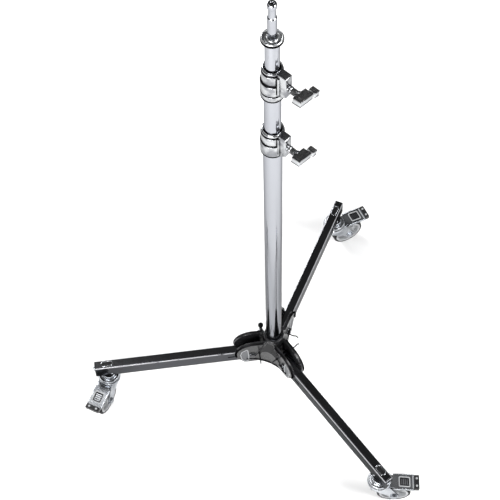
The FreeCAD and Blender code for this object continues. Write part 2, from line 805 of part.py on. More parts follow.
def brake_plate():
    """Rocking plate over the wheel: ears on trunnions, a shoe, side flanges and a pedal."""
    width = brake_half_width
    top = crown_low - edge_break
    low = top - brake_plate_slope_drop
    tongue = fork_inner - face_gap
    plate = upright_plate(brake_outline(0), -width, width)
    sides = slab(0, brake_flange_start, 2 * width, 0, crown_top)
    plate = plate.cut(sides.cut(slab(0, brake_flange_start, tongue, 0, crown_top)))
    skirt_outline = [
        (brake_flange_start, top), (brake_bend_along, top), (brake_plate_end, low),
        (brake_plate_end, low - brake_flange_depth),
        (brake_bend_along, top - brake_flange_depth - brake_plate_thickness / 2),
        (brake_flange_start + brake_flange_depth, top - brake_flange_depth - brake_plate_thickness / 2),
        (brake_flange_start, top - brake_plate_thickness),
    ]
    trunnion_z = crown_low - brake_pivot_drop
    ear_low = trunnion_z - brake_pivot_radius - edge_break
    pieces = []
    for side in (-1, 1):
        y_low, y_high = sorted((side * (width - brake_flange), side * width))
        pieces.append(upright_plate(skirt_outline, y_low, y_high))
        y_low, y_high = sorted((side * (tongue - brake_ear), side * tongue))
        ear = [(brake_ear_start, top - edge_break / 2), (brake_ear_end, top),
               (brake_ear_end, ear_low), (brake_ear_start, ear_low)]
        pieces.append(upright_plate(ear, y_low, y_high))
        start = V(brake_pivot_along, side * (tongue - brake_ear), trunnion_z)
        end = V(brake_pivot_along, side * fork_outer, trunnion_z)
        pieces.append(bar(start, end, brake_pivot_radius))
    shoe = slab(shoe_start, shoe_end, shoe_half_width, low - shoe_depth, low)
    reach = V(0, shoe_half_width + overrun, 0)
    axle = V(trail, 0, wheel_radius)
    shoe = shoe.cut(bar(axle - reach, axle + reach, wheel_radius + shoe_gap))
    pedal = slab(brake_plate_end - edge_break, pedal_end, pedal_half_width,
                 low + pedal_rise - pedal_height, low + pedal_rise)
    pedal = pedal.makeFillet(pedal_round, pedal.Edges)
    body = plate.fuse(pieces + [shoe, pedal]).removeSplitter()
    sunk = upright_plate(brake_outline(brake_plate_thickness - stamp_depth),
                         -stamp_half_width, stamp_half_width)
    window = slab(stamp_start, stamp_end, stamp_half_width, 0, crown_top)
    return body.cut(sunk.common(window))


# Build every node and write it

os.makedirs("parts", exist_ok=True)

save("hub", hub_casting())
save("foot_plug", foot_plug())
save("hub_set_screws", set_screws(set_screw_radius))
save("leg_pivot_bolts", on_legs(pivot_bolt()))
save("leg_pivot_nuts", on_legs(pivot_nut()))
save("lock_plunger", swung(swung(lock_plunger(), 0, plunger_along, -plunger_aside), left_leg_azimuth))

save("base_tube", windowed_tube(base_tube_radius, base_tube_low, base_tube_top))
save("middle_tube", windowed_tube(middle_tube_radius, middle_tube_low, middle_tube_top))
save("top_tube", sleeve(top_tube_radius, top_tube_radius - tube_wall, top_tube_low, top_tube_top))
save("middle_guide", riser_guide(base_tube_radius, middle_tube_radius, plug_top))
save("top_guide", riser_guide(middle_tube_radius, top_tube_radius, top_guide_low))

lower_bands = [
    (lower_skirt_height, lower_skirt_wall), (lower_band_height, band_wall), (ring_height, ring_wall),
]
upper_bands = [(upper_rim_height, upper_skirt_wall), (upper_skirt_height, upper_skirt_wall),
               (upper_band_height, band_wall), (ring_height, ring_wall)]
stations = [
    ("lower", base_tube_radius, middle_tube_radius, base_tube_top, lower_bands),
    ("upper", middle_tube_radius, top_tube_radius, middle_tube_top, upper_bands),
]
for level, tube_radius, riser_radius, tube_top, bands in stations:
    save(level + "_collar", collar(tube_radius, riser_radius, tube_top, bands))
    save(level + "_guide_ring", guide_ring(tube_radius, riser_radius, tube_top))
    save(level + "_brake_pad", brake_pad(tube_radius, riser_radius, tube_top))
    save(level + "_clamp_screw", clamp_screw(tube_radius, tube_top))
    save(level + "_clamp_handle", clamp_handle(tube_top))

save("stud_socket", stud_socket())
save("stud", stud())

leg_pieces = {
    "leg_tube": leg_tube(), "heel_block": heel_block(), "end_cap": end_cap(),
    "cap_screw": cap_screw(), "oval_plug": oval_plug(),
}
caster_pieces = {
    "swivel_race": [swivel_race()], "fork": [fork()], "axle": axle_set(),
    "wheel": [wheel()], "tyre": [tyre()], "brake_plate": [brake_plate()],
}
for side, azimuth in leg_azimuths.items():
    for name, shape in leg_pieces.items():
        save(side + "_" + name, swung(shape, azimuth))
    turn = math.radians(azimuth)
    x = swivel_along * math.cos(turn)
    y = swivel_along * math.sin(turn)
    for name, solids in caster_pieces.items():
        placed = [swung(solid, caster_azimuths[side], x, y) for solid in solids]
        save(side + "_" + name, placed if len(placed) > 1 else placed[0])
    pin = leg_pin()
    if side == "back":
        pin = pin.mirror(V(0, 0, 0), V(0, 1, 0))
    save(side + "_leg_pin", swung(pin, azimuth))
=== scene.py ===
# %% [markdown]
# # A roller stand, dressed for its portrait
# The stand is a chromed column of three tubes on three black folding legs with braked
# casters. Its construction is already settled, so this lesson gives it what the eye looks
# for: finishes, soft edges, threads, knurls and pressed beads. It loads the finished
# pieces, lights them as a photographer would, and then works from the stud down.

# %% Load the stand
import json
import math

import bmesh
import bpy
from mathutils import Matrix, Vector


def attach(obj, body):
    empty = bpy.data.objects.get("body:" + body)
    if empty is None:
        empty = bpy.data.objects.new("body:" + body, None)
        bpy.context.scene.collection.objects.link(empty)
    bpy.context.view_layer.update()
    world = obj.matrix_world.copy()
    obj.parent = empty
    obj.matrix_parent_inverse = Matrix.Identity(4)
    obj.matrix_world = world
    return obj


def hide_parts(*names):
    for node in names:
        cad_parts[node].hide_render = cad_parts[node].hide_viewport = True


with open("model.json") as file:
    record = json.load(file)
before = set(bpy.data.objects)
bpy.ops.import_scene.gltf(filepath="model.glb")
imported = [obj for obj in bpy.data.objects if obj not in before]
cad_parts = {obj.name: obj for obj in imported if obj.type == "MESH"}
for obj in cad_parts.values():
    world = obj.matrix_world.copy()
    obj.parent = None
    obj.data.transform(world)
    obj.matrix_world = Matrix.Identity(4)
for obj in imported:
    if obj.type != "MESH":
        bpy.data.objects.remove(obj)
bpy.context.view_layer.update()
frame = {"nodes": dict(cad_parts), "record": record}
nodes = frame["nodes"]
MM = 0.001
SIDES = ("left", "front", "back")
bodies = frame["record"]["behaviour"]["bodies"]
carrier = {name: body for body, names in bodies.items() for name in names}

# %% [markdown]
# ## Camera
# The picture was taken from high up with a long lens, so the column leans only a little
# and the legs spread like a compass rose. A camera can be aimed at a point, but here its
# turn, pitch and roll were measured, so each is a turn of its own.

# %% Camera
VIEW_PLACE = Vector((-0.1779, -1.4093, 3.1234))
VIEW_TURN = -5.33
VIEW_PITCH = 60.772
VIEW_ROLL = -1.935
FOCAL_PIXELS = 1466.3
PICTURE_PIXELS = 500

camera_data = bpy.data.cameras.new("portrait_camera")
camera_data.sensor_width = 36.0
camera_data.lens = camera_data.sensor_width * FOCAL_PIXELS / PICTURE_PIXELS
camera_data.clip_end = 50.0
camera = bpy.data.objects.new("portrait_camera", camera_data)
bpy.context.scene.collection.objects.link(camera)
aim = Matrix.Rotation(math.radians(VIEW_TURN), 4, "Z")
aim = aim @ Matrix.Rotation(math.radians(90 - VIEW_PITCH), 4, "X")
aim = aim @ Matrix.Rotation(math.radians(VIEW_ROLL), 4, "Z")
camera.matrix_world = Matrix.Translation(VIEW_PLACE) @ aim
bpy.context.scene.camera = camera
print("lens in mm:", round(camera_data.lens, 2))

# %% [markdown]
# ## Floor and light
# Chrome shows nothing but its surroundings. From this height an upright tube mirrors only
# the floor and the black legs on it, and every level face mirrors the air behind the
# stand. So the floor is nearly white and brightly lit, while the air stays dim: tubes come
# out pale with thin dark lines, and tops of legs and hub come out almost black. Each lamp
# is a soft panel, with its size in metres and its power in watts.

# %% Floor
FLOOR_HALF = 9.0
floor_mesh = bpy.data.meshes.new("floor")
corners = [(x * FLOOR_HALF, y * FLOOR_HALF, 0) for x, y in ((-1, -1), (1, -1), (1, 1), (-1, 1))]
floor_mesh.from_pydata(corners, [], [(0, 1, 2, 3)])
floor = bpy.data.objects.new("floor", floor_mesh)
bpy.context.scene.collection.objects.link(floor)
print("floor side in metres:", 2 * FLOOR_HALF)

# %% Soft lamps


def soft_lamp(name, place, target, width, height, power):
    """Rectangular lamp that faces a target point."""
    data = bpy.data.lights.new(name, "AREA")
    data.shape = "RECTANGLE"
    data.size = width
    data.size_y = height
    data.energy = power
    lamp = bpy.data.objects.new(name, data)
    bpy.context.scene.collection.objects.link(lamp)
    lamp.location = place
    lamp.rotation_euler = (Vector(target) - Vector(place)).to_track_quat("-Z", "Y").to_euler()
    return lamp


CENTRE = (0, 0, 0.3)
soft_lamp("key_lamp", (1.5, -0.9, 1.7), CENTRE, 1.1, 1.1, 52)
soft_lamp("fill_lamp", (-1.4, -2.6, 1.8), CENTRE, 2.2, 1.3, 128)
soft_lamp("back_lamp", (-1.6, 2.4, 1.5), CENTRE, 1.4, 1.0, 108)
soft_lamp("top_lamp", (-1.0, 1.0, 3.9), (-0.15, 0.1, 0), 1.1, 1.0, 13)

AIR_STRENGTH = 0.11
world = bpy.data.worlds.new("studio")
world.use_nodes = True
air = world.node_tree.nodes["Background"].inputs
air["Color"].default_value = (1, 1, 1, 1)
air["Strength"].default_value = AIR_STRENGTH
bpy.context.scene.world = world
bpy.context.scene.view_settings.view_transform = "Standard"

# %% [markdown]
# ## Writing nodes as sums
# Both a shader and a Geometry Nodes recipe are webs of boxes, but their maths reads better
# as `0.3 + 0.1 * grain`. The small class below wraps one socket and adds a Math node for
# each sum. One method makes any other node from its type, its settings and its inputs.

# %% Node helper


class Wire:
    """One output socket, which can be added, multiplied and compared."""

    def __init__(self, web, socket):
        self.web = web
        self.socket = socket

    def math(self, operation, first, second):
        return self.web.node("ShaderNodeMath", {"operation": operation}, {0: first, 1: second})

    def __add__(self, other):
        return self.math("ADD", self, other)

    __radd__ = __add__

    def __sub__(self, other):
        return self.math("SUBTRACT", self, other)

    def __rsub__(self, other):
        return self.math("SUBTRACT", other, self)

    def __mul__(self, other):
        return self.math("MULTIPLY", self, other)

    __rmul__ = __mul__

    def __truediv__(self, other):
        return self.math("DIVIDE", self, other)

    def __rtruediv__(self, other):
        return self.math("DIVIDE", other, self)


class Web:
    """A node tree that is written by hand."""

    def join(self, socket, value):
        if isinstance(value, Wire):
            self.tree.links.new(value.socket, socket)
        else:
            socket.default_value = value

    def node(self, kind, settings, inputs, output=0):
        """Make a node: its settings first, then the values or wires of its sockets."""
        made = self.tree.nodes.new(kind)
        for key, value in settings.items():
            setattr(made, key, value)
        for key, value in inputs.items():
            self.join(made.inputs[key], value)
        return Wire(self, made.outputs[output])


print("node helper ready")

# %% [markdown]
# ## A shader with soft edges
# No real edge is razor sharp, and the thin bright line along it is what makes metal look
# solid. Modelling each of those roundings is one way. A Bevel node is another: it turns
# the surface normal near an edge while the shape stays as it is, so every built piece
# gets its line of light at once. The same node, compared with the true normal, tells
# where the edges are, and that mask also places wear. `edge` is the bevel's radius in
# millimetres, and `graze` dims what a finish mirrors at a low angle.

# %% Shader helper


class Shader(Web):
    """A material with a Principled surface."""

    def __init__(self, name, color=None, metallic=0.0, edge=0.6, graze=1.0):
        self.material = bpy.data.materials.new(name)
        self.material.use_nodes = True
        self.tree = self.material.node_tree
        self.surface = self.tree.nodes["Principled BSDF"]
        self.soft = None
        if edge:
            self.soft = self.node("ShaderNodeBevel", {"samples": 6}, {"Radius": edge * MM})
            self.set("Normal", self.soft)
        if color:
            self.set("Base Color", (*color, 1))
        self.set("Metallic", metallic)
        self.set("Specular Tint", (graze, graze, graze, 1))

    def set(self, name, value):
        """Give one socket of the surface a constant or a wire."""
        self.join(self.surface.inputs[name], value)

    def noise(self, scale, detail=3.0, stretch=(1, 1, 1)):
        """Cloudy pattern from 0 to 1, fixed to the piece."""
        raw = self.node("ShaderNodeTexCoord", {}, {}, output="Object")
        place = self.node("ShaderNodeMapping", {}, {"Vector": raw, "Scale": stretch})
        cloudy = {"Vector": place, "Scale": scale, "Detail": detail}
        return self.node("ShaderNodeTexNoise", {}, cloudy)

    def height(self):
        """Height above the floor in millimetres, fixed to the piece."""
        raw = self.node("ShaderNodeTexCoord", {}, {}, output="Object")
        return self.node("ShaderNodeSeparateXYZ", {}, {0: raw}, output="Z") / MM

    def edges(self):
        """1 near an edge and 0 on flat faces."""
        hard = self.node("ShaderNodeNewGeometry", {}, {}, output="Normal")
        both = {0: self.soft, 1: hard}
        dot = self.node("ShaderNodeVectorMath", {"operation": "DOT_PRODUCT"}, both, output="Value")
        return self.node("ShaderNodeMapRange", {}, {0: dot, 1: 0.99, 2: 0.86, 3: 0.0, 4: 1.0})

    def steps(self, value, low, high):
        """Smoothly rise from 0 to 1 between two levels of a wire."""
        smooth = {"interpolation_type": "SMOOTHSTEP"}
        return self.node("ShaderNodeMapRange", smooth, {0: value, 1: low, 2: high, 3: 0.0, 4: 1.0})

    def mix(self, share, first, second):
        """Mix two colours."""
        made = self.tree.nodes.new("ShaderNodeMix")
        made.data_type = "RGBA"
        self.join(made.inputs[0], share)
        for index, value in ((6, first), (7, second)):
            self.join(made.inputs[index], value if isinstance(value, Wire) else (*value, 1))
        return Wire(self, made.outputs[2])

    def bump(self, height, strength, distance):
        """Raise the surface by a pattern, on top of the soft edges."""
        inputs = {"Height": height, "Strength": strength, "Distance": distance}
        if self.soft:
            inputs["Normal"] = self.soft
        self.set("Normal", self.node("ShaderNodeBump", {}, inputs))


def dress(shader, *names):
    """Give built pieces a finish."""
    for name in names:
        for slot in nodes[name].material_slots:
            slot.material = shader.material


print("shader helper ready")

# %% [markdown]
# ## Chrome
# Polished chrome plate is a perfect metal with a nearly clean mirror. It looks real
# through what disturbs the mirror: a faint waviness of the drawn tube below the plate,
# fine rub marks where the risers slide, and a thin haze of handling. All stay weak.

# %% Chrome plate
chrome = Shader("chrome_tube", metallic=1.0, edge=0, graze=0.35)
haze = chrome.noise(9.0, detail=4.0, stretch=(1, 1, 0.25))
rub = chrome.noise(260.0, detail=2.0, stretch=(1, 1, 0.015))
chrome.set("Roughness", 0.05 + 0.10 * haze * rub)
chrome.set("Base Color", chrome.mix(haze, (0.44, 0.45, 0.475), (0.36, 0.37, 0.40)))
chrome.bump(chrome.noise(14.0, detail=1.0, stretch=(1, 1, 0.3)), 0.05, 0.002)
print("chrome mixed")

# %% [markdown]
# ## Castings
# Collars and handles were cast, tumbled and then plated. The skin of a collar keeps a soft
# pebble below the plate, so its mirror breaks up into small light and dark patches. The
# handles wear a darker plate with edges rubbed bright, round a core in satin chrome. The
# near-black rings at the collars' joints are painted shade, a black with almost no mirror
# that draws a line round each joint.

# %% Bright and dark casting
cast = Shader("bright_casting", metallic=1.0, edge=0.7, graze=0.4)
pebble = cast.noise(300.0, detail=3.0)
patch = cast.noise(45.0, detail=4.0)
worn = cast.edges()
cast.set("Roughness", 0.12 + 0.18 * patch - 0.06 * worn)
blotch = cast.steps(patch, 0.40, 0.62)
cast.set("Base Color", cast.mix(blotch, (0.56, 0.57, 0.58), (0.27, 0.275, 0.29)))
cast.bump(pebble + 1.2 * patch, 0.30, 0.0006)

dark = Shader("dark_casting", metallic=1.0, edge=0.8, graze=0.5)
grain = dark.noise(260.0, detail=3.0)
dark.set("Base Color", dark.mix(dark.edges(), (0.12, 0.12, 0.125), (0.60, 0.60, 0.61)))
dark.set("Roughness", 0.20 + 0.22 * grain)
dark.bump(grain, 0.25, 0.0005)

satin = Shader("satin_chrome", (0.56, 0.57, 0.58), metallic=1.0, edge=0.7, graze=0.3)
satin.set("Roughness", 0.24 + 0.14 * satin.noise(60.0))
# This near-black draws painted shade in grooves, corners and slots, and it is also the real black of
# the plunger knob.
ink = Shader("black_and_painted_shade", (0.012, 0.012, 0.013), metallic=1.0, edge=0, graze=0.1)
ink.set("Roughness", 0.32 + 0.2 * ink.noise(90.0))
print("castings mixed")

# %% [markdown]
# ## Black hub and legs
# The hub is a sand casting under a hard black coat, and its skin shows through. Cases have
# rubbed a few spots along its edges, so the wear follows the edge mask and a noise that
# breaks it up. The legs are smooth tube in a gloss enamel, a dark mirror with a faint
# orange peel. A pale line along their upper corner is a painted highlight, and the strip
# along their foot is painted shade, nearly black. Both lines follow the height that the leg
# had when it was drawn, so they stay on it as it folds.

# %% Black finishes
hub_black = Shader("black_casting", edge=1.0, graze=0.6)
sand = hub_black.noise(240.0, detail=4.0)
patch = hub_black.noise(30.0, detail=3.0)
chips = hub_black.steps(hub_black.noise(90.0, detail=5.0), 0.42, 0.60)
chipped = hub_black.edges() * chips
hub_black.set("Base Color", hub_black.mix(chipped, (0.010, 0.010, 0.011), (0.32, 0.32, 0.33)))
hub_black.set("Metallic", 0.8 * chipped)
hub_black.set("Roughness", 0.16 + 0.22 * patch)
hub_black.bump(sand + 1.5 * patch, 0.30, 0.0006)

LINE_LOW, LINE_HIGH, FOOT_HIGH = (146.4, 147.4), (149.1, 149.9), (113.0, 114.2)
enamel = Shader("black_gloss", edge=0.9, graze=0.4)
dust = enamel.noise(12.0, detail=5.0)
height = enamel.height()
# A pale band along the upper corner is a painted highlight, broken up by noise.
painted_highlight = enamel.steps(height, *LINE_LOW) * (1 - enamel.steps(height, *LINE_HIGH))
painted_highlight = painted_highlight * enamel.steps(enamel.noise(40.0, detail=5.0), 0.22, 0.40)
# The strip along the foot is painted shade, nearly black.
shaded = 1 - enamel.steps(height, *FOOT_HIGH)
skin = enamel.mix(painted_highlight, (0.100, 0.102, 0.108), (0.38, 0.38, 0.40))
enamel.set("Base Color", enamel.mix(shaded, skin, (0.004, 0.004, 0.004)))
enamel.set("Metallic", 1 - 0.75 * painted_highlight)
enamel.set("Roughness", 0.10 + 0.16 * dust)
enamel.bump(enamel.noise(150.0, detail=2.0), 0.10, 0.0005)

# This lighter grey is a painted reflection: it stands for the floor mirrored in the hub's sunk
# panels.
panel_reflection_grey = Shader("panel_reflection_grey", (0.06, 0.063, 0.07), edge=0)
panel_reflection_grey.set("Roughness", 0.26 + 0.2 * panel_reflection_grey.noise(80.0))
panel_reflection_grey.bump(panel_reflection_grey.noise(300.0), 0.3, 0.0004)
print("black finishes mixed")

# %% [markdown]
# ## Zinc and steel
# The casters are pressed steel in bright zinc, a bluish skin that is mottled like frost.
# Bolts, pins and screws are oiled black steel, which shines where fingers and spanners
# have polished it.

# %% Zinc and blackened steel
zinc = Shader("zinc_steel", metallic=1.0, edge=0.6, graze=0.5)
spangle = zinc.noise(120.0, detail=4.0)
stain = zinc.noise(30.0, detail=5.0)
frost = zinc.steps(stain, 0.35, 0.7)
zinc.set("Base Color", zinc.mix(frost, (0.64, 0.66, 0.69), (0.30, 0.315, 0.34)))
zinc.set("Roughness", 0.10 + 0.24 * spangle)
zinc.bump(spangle + 0.6 * stain, 0.22, 0.0005)

black_steel = Shader("dark_steel", metallic=0.9, edge=0.5)
mottle = black_steel.noise(90.0, detail=4.0)
bright = black_steel.edges()
black_steel.set("Base Color", black_steel.mix(bright, (0.05, 0.05, 0.055), (0.55, 0.55, 0.56)))
black_steel.set("Roughness", 0.18 + 0.2 * mottle)
black_steel.bump(mottle, 0.12, 0.0004)
print("metal finishes mixed")

# %% [markdown]
# ## Plastic, rubber and the floor
# Wheels are pale moulded plastic in a dark tyre. Plugs, bushes and pedals are black
# plastic with the fine grain of a spark-eroded mould. The floor is bare and pale.

# %% Plastic, rubber, floor
# Wheels are truly this pale grey; the same grey also draws painted highlights on the hub's panel
# rims and the brake plates' frames and folds.
pale_grey_and_highlight = Shader("grey_plastic")
cloud = pale_grey_and_highlight.noise(60.0, detail=4.0)
pale_grey_and_highlight.set("Base Color", pale_grey_and_highlight.mix(cloud, (0.42, 0.43, 0.44), (0.25, 0.255, 0.265)))
pale_grey_and_highlight.set("Roughness", 0.32 + 0.2 * cloud)
pale_grey_and_highlight.bump(pale_grey_and_highlight.noise(400.0, detail=2.0), 0.12, 0.0003)

rubber = Shader("black_rubber", edge=0.5, graze=0.1)
scuff = rubber.noise(55.0, detail=5.0)
grey = rubber.steps(scuff, 0.45, 0.75)
rubber.set("Base Color", rubber.mix(grey, (0.004, 0.004, 0.005), (0.018, 0.0175, 0.017)))
rubber.set("Roughness", 0.42 + 0.3 * scuff)
rubber.bump(rubber.noise(500.0, detail=3.0), 0.25, 0.0003)

plastic = Shader("black_plastic", (0.009, 0.009, 0.010))
plastic.set("Roughness", 0.26 + 0.2 * plastic.noise(80.0))
plastic.bump(plastic.noise(700.0, detail=3.0), 0.22, 0.0003)

ground = Shader("pale_floor", (0.93, 0.93, 0.93), edge=0)
ground.set("Roughness", 0.75)
ground.bump(ground.noise(30.0, detail=4.0), 0.03, 0.001)
floor_mesh.materials.append(ground.material)
print("finishes made:", len(bpy.data.materials))

# %% [markdown]
# ## Shapes from outlines
# Most pieces of a stand are turned on a lathe or cut from plate. So two helpers make
# nearly all of them from an outline in millimetres: one turns it about an axis, the other
# gives it a thickness. A third rounds an outline's corners, since no tool leaves them
# sharp, a fourth sets a flat shape on edge, and the last draws an arc. A shape stays a
# plain pair of points and faces until it is set in place.

# %% Outline helpers


def rounded(points, radius, steps=4, loop=False):
    """Outline with its corners replaced by short curves."""
    result = []
    for index, point in enumerate(points):
        corner = Vector(point)
        if not loop and index in (0, len(points) - 1):
            result.append(corner)
            continue
        back = Vector(points[index - 1]) - corner
        on = Vector(points[(index + 1) % len(points)]) - corner
        reach = min(radius, 0.45 * back.length, 0.45 * on.length)
        start = corner + back.normalized() * reach
        end = corner + on.normalized() * reach
        for step in range(steps + 1):
            t = step / steps
            result.append(start * (1 - t) ** 2 + corner * (2 * t * (1 - t)) + end * t ** 2)
    return result


def turned(outline, segments=96, loop=False):
    """Shape turned about the Z axis from (radius, height) points."""
    points, faces, rows = [], [], []
    for radius, height in outline:
        if radius < 1e-4:
            rows.append([len(points)])
            points.append((0, 0, height))
            continue
        rows.append(range(len(points), len(points) + segments))
        for k in range(segments):
            angle = 2 * math.pi * k / segments
            points.append((radius * math.cos(angle), radius * math.sin(angle), height))
    pairs = list(zip(rows, rows[1:]))
    if loop:
        pairs.append((rows[-1], rows[0]))
    for low, high in pairs:
        for k in range(segments):
            j = (k + 1) % segments
            below = (low[k % len(low)], low[j % len(low)])
            above = (high[j % len(high)], high[k % len(high)])
            face = list(dict.fromkeys(below + above))
            if len(face) > 2:
                faces.append(face)
    return points, faces


def plate(outline, low, high):
    """Flat shape with a thickness along Z."""
    count = len(outline)
    points = [(x, y, z) for z in (low, high) for x, y in outline]
    sides = [[k, (k + 1) % count, (k + 1) % count + count, k + count] for k in range(count)]
    return points, [list(range(count)), list(range(count, 2 * count))] + sides


def stood(shape):
    """Flat shape set on edge, so that the outline's second number is a height."""
    return [(x, y, z) for x, z, y in shape[0]], shape[1]


def arc(along, across, radius, first, step, count):
    """Points on a circle, from a first angle and a step in degrees."""
    angles = [math.radians(first + k * step) for k in range(count)]
    return [(along + radius * math.cos(a), across + radius * math.sin(a)) for a in angles]


print("outline helpers ready")

# %% [markdown]
# ## From shape to piece
# Every piece leaves its workshop the same way: doubled points are merged, faces are turned
# outwards, hard corners may get a true bevel, and smooth shading stops at edges that are
# meant to be edges. Then the mesh itself is moved to its place, so the object stays at
# the origin and a pattern on it never slides. Last, the piece is told what it rides on.
# Turned pieces are so many that the whole way from outline to piece gets its own name.

# %% Set a piece in place
HERE = Matrix.Identity(4)
HARD_EDGE = math.radians(30)
SHARP_SHADE = math.radians(38)


def finish_mesh(mesh, place, bevel):
    """Merge, turn outwards, bevel, shade and place one mesh that was drawn in millimetres."""
    work = bmesh.new()
    work.from_mesh(mesh)
    bmesh.ops.remove_doubles(work, verts=work.verts, dist=1e-4)
    bmesh.ops.recalc_face_normals(work, faces=work.faces)
    if bevel:
        shared = [edge for edge in work.edges if len(edge.link_faces) == 2]
        hard = [edge for edge in shared if edge.calc_face_angle(0) > HARD_EDGE]
        cut = {"offset": bevel, "segments": 3, "profile": 0.5, "clamp_overlap": True}
        bmesh.ops.bevel(work, geom=hard, affect="EDGES", **cut)
    work.transform(Matrix.Scale(MM, 4) @ place)
    bmesh.ops.recalc_face_normals(work, faces=work.faces)
    work.to_mesh(mesh)
    work.free()
    mesh.shade_smooth()
    mesh.set_sharp_from_angle(angle=SHARP_SHADE)


def settle(made, body, built):
    """Let a piece ride on a body; one that takes a built piece's place rides where that did."""
    if built:
        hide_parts(built)
    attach(made, body or carrier[built])


def piece(name, shape, shader, body, place=HERE, bevel=0.0, instead_of=None):
    """Turn a shape into an object that rides on one body."""
    mesh = bpy.data.meshes.new(name)
    mesh.from_pydata(shape[0], [], shape[1])
    finish_mesh(mesh, place, bevel)
    mesh.materials.append(shader.material)
    made = bpy.data.objects.new(name, mesh)
    bpy.context.scene.collection.objects.link(made)
    settle(made, body, instead_of)
    return made


def lathe(name, outline, shader, body, place=HERE, soft=0.4, steps=4, segments=96, loop=False,
          instead_of=None):
    """Turned piece with soft corners; a loop is a ring, any other outline starts on the axis."""
    shape = turned(rounded(outline, soft, steps, loop), segments, loop)
    return piece(name, shape, shader, body, place, instead_of=instead_of)


print("piece helpers ready")

# %% [markdown]
# ## Places on the stand
# A leg, a caster, a wheel and a clamp are each easiest to draw in their own frame. The
# matrices below carry such a frame to its place, all in millimetres.

# %% Places
COLUMN_CLAMP_TURN = -48.3
LEG_TURN = {"left": 180.0, "front": 300.0, "back": 60.0}
TRAIL_TURN = {"left": 238.0, "front": -8.3, "back": 20.0}
CLAMP_HEIGHT = {"lower": 987.0, "upper": 1164.0}
SWIVEL_ALONG, WHEEL_TRAIL, AXLE_HEIGHT = 376, 35, 37.5


def turn(degrees, axis="Z"):
    return Matrix.Rotation(math.radians(degrees), 4, axis)


def shift(x, y, z):
    return Matrix.Translation((x, y, z))


leg_place = {side: turn(LEG_TURN[side]) for side in SIDES}
caster_place = {
    side: leg_place[side] @ shift(SWIVEL_ALONG, 0, 0) @ turn(TRAIL_TURN[side] - LEG_TURN[side])
    for side in SIDES
}
wheel_place = {
    side: caster_place[side] @ shift(WHEEL_TRAIL, 0, AXLE_HEIGHT) @ turn(90, "X") for side in SIDES
}
clamp_place = {level: turn(COLUMN_CLAMP_TURN) @ shift(0, 0, z) for level, z in CLAMP_HEIGHT.items()}
print("places:", len(leg_place) + len(caster_place) + len(wheel_place) + len(clamp_place))

# %% [markdown]
# ## Recipes for what repeats
# A knurl, a row of ribs or a thread is one small shape, repeated by a rule. Copying it by
# hand fixes the count for ever; Geometry Nodes keep the rule and its sizes as named
# inputs. Each recipe below ends by making its copies real and giving them their finish,
# and its result is kept as a plain mesh.

# %% Recipe helper


class Recipe(Web):
    """A Geometry Nodes tree with named inputs."""

    def __init__(self, name, **inputs):
        self.tree = bpy.data.node_groups.new(name, "GeometryNodeTree")
        self.sockets = {}
        face = self.tree.interface
        for label, kind in {"Shape": "Geometry", **inputs, "Finish": "Material"}.items():
            made = face.new_socket(label, in_out="INPUT", socket_type="NodeSocket" + kind)
            self.sockets[label] = made.identifier
        face.new_socket("Shape", in_out="OUTPUT", socket_type="NodeSocketGeometry")
        self.entry = self.tree.nodes.new("NodeGroupInput")

    def given(self, label):
        return Wire(self, self.entry.outputs[label])

    def end(self, shape):
        """Make the copies real, give them their finish and hand them out."""
        real = self.node("GeometryNodeRealizeInstances", {}, {0: shape})
        dressed = {"Geometry": real, "Material": self.given("Finish")}
        ready = self.node("GeometryNodeSetMaterial", {}, dressed)
        self.join(self.tree.nodes.new("NodeGroupOutput").inputs[0], ready)

    def make(self, name, shader, body, place=HERE, shape=((), ()), edges=(), instead_of=None,
             **sizes):
        """Run the recipe on a shape and keep the result as a plain mesh."""
        mesh = bpy.data.meshes.new(name)
        mesh.from_pydata(list(shape[0]), list(edges), list(shape[1]))
        made = bpy.data.objects.new(name, mesh)
        bpy.context.scene.collection.objects.link(made)
        step = made.modifiers.new("recipe", "NODES")
        step.node_group = self.tree
        for label, value in {**sizes, "Finish": shader.material}.items():
            step[self.sockets[label]] = value
        seen = made.evaluated_get(bpy.context.evaluated_depsgraph_get())
        made.data = bpy.data.meshes.new_from_object(seen)
        made.data.name = name
        made.modifiers.remove(step)
        finish_mesh(made.data, place, 0.0)
        settle(made, body, instead_of)
        return made


print("recipe helper ready")

# %% Ring and row recipes
ring = Recipe("ring_of_copies", Count="Int", Radius="Float")
angle = ring.node("GeometryNodeInputIndex", {}, {}) * (2 * math.pi) / ring.given("Count")
reach = ring.given("Radius")
spot = ring.node("ShaderNodeCombineXYZ", {}, {
    0: reach * ring.node("ShaderNodeMath", {"operation": "COSINE"}, {0: angle}),
    1: reach * ring.node("ShaderNodeMath", {"operation": "SINE"}, {0: angle}),
})
spots = ring.node("GeometryNodePoints", {}, {"Count": ring.given("Count"), "Position": spot})
facing = ring.node("ShaderNodeCombineXYZ", {}, {2: angle})
copies = {0: spots, "Instance": ring.given("Shape"), "Rotation": facing}
ring.end(ring.node("GeometryNodeInstanceOnPoints", {}, copies))

row = Recipe("row_of_copies", Count="Int", Step="Vector")
index = row.node("GeometryNodeInputIndex", {}, {})
scaled = {0: row.given("Step"), "Scale": index}
spot = row.node("ShaderNodeVectorMath", {"operation": "SCALE"}, scaled)
spots = row.node("GeometryNodePoints", {}, {"Count": row.given("Count"), "Position": spot})
copies = {0: spots, "Instance": row.given("Shape")}
row.end(row.node("GeometryNodeInstanceOnPoints", {}, copies))
print("ring and row recipes ready")

# %% Thread, rod and tube recipes
FILLET, CIRCLE = "GeometryNodeFilletCurve", "GeometryNodeCurvePrimitiveCircle"


def swept(recipe, path, section, **more):
    """End a recipe by carrying a section along a path."""
    curves = {"Curve": path, "Profile Curve": section, **more}
    recipe.end(recipe.node("GeometryNodeCurveToMesh", {}, curves))


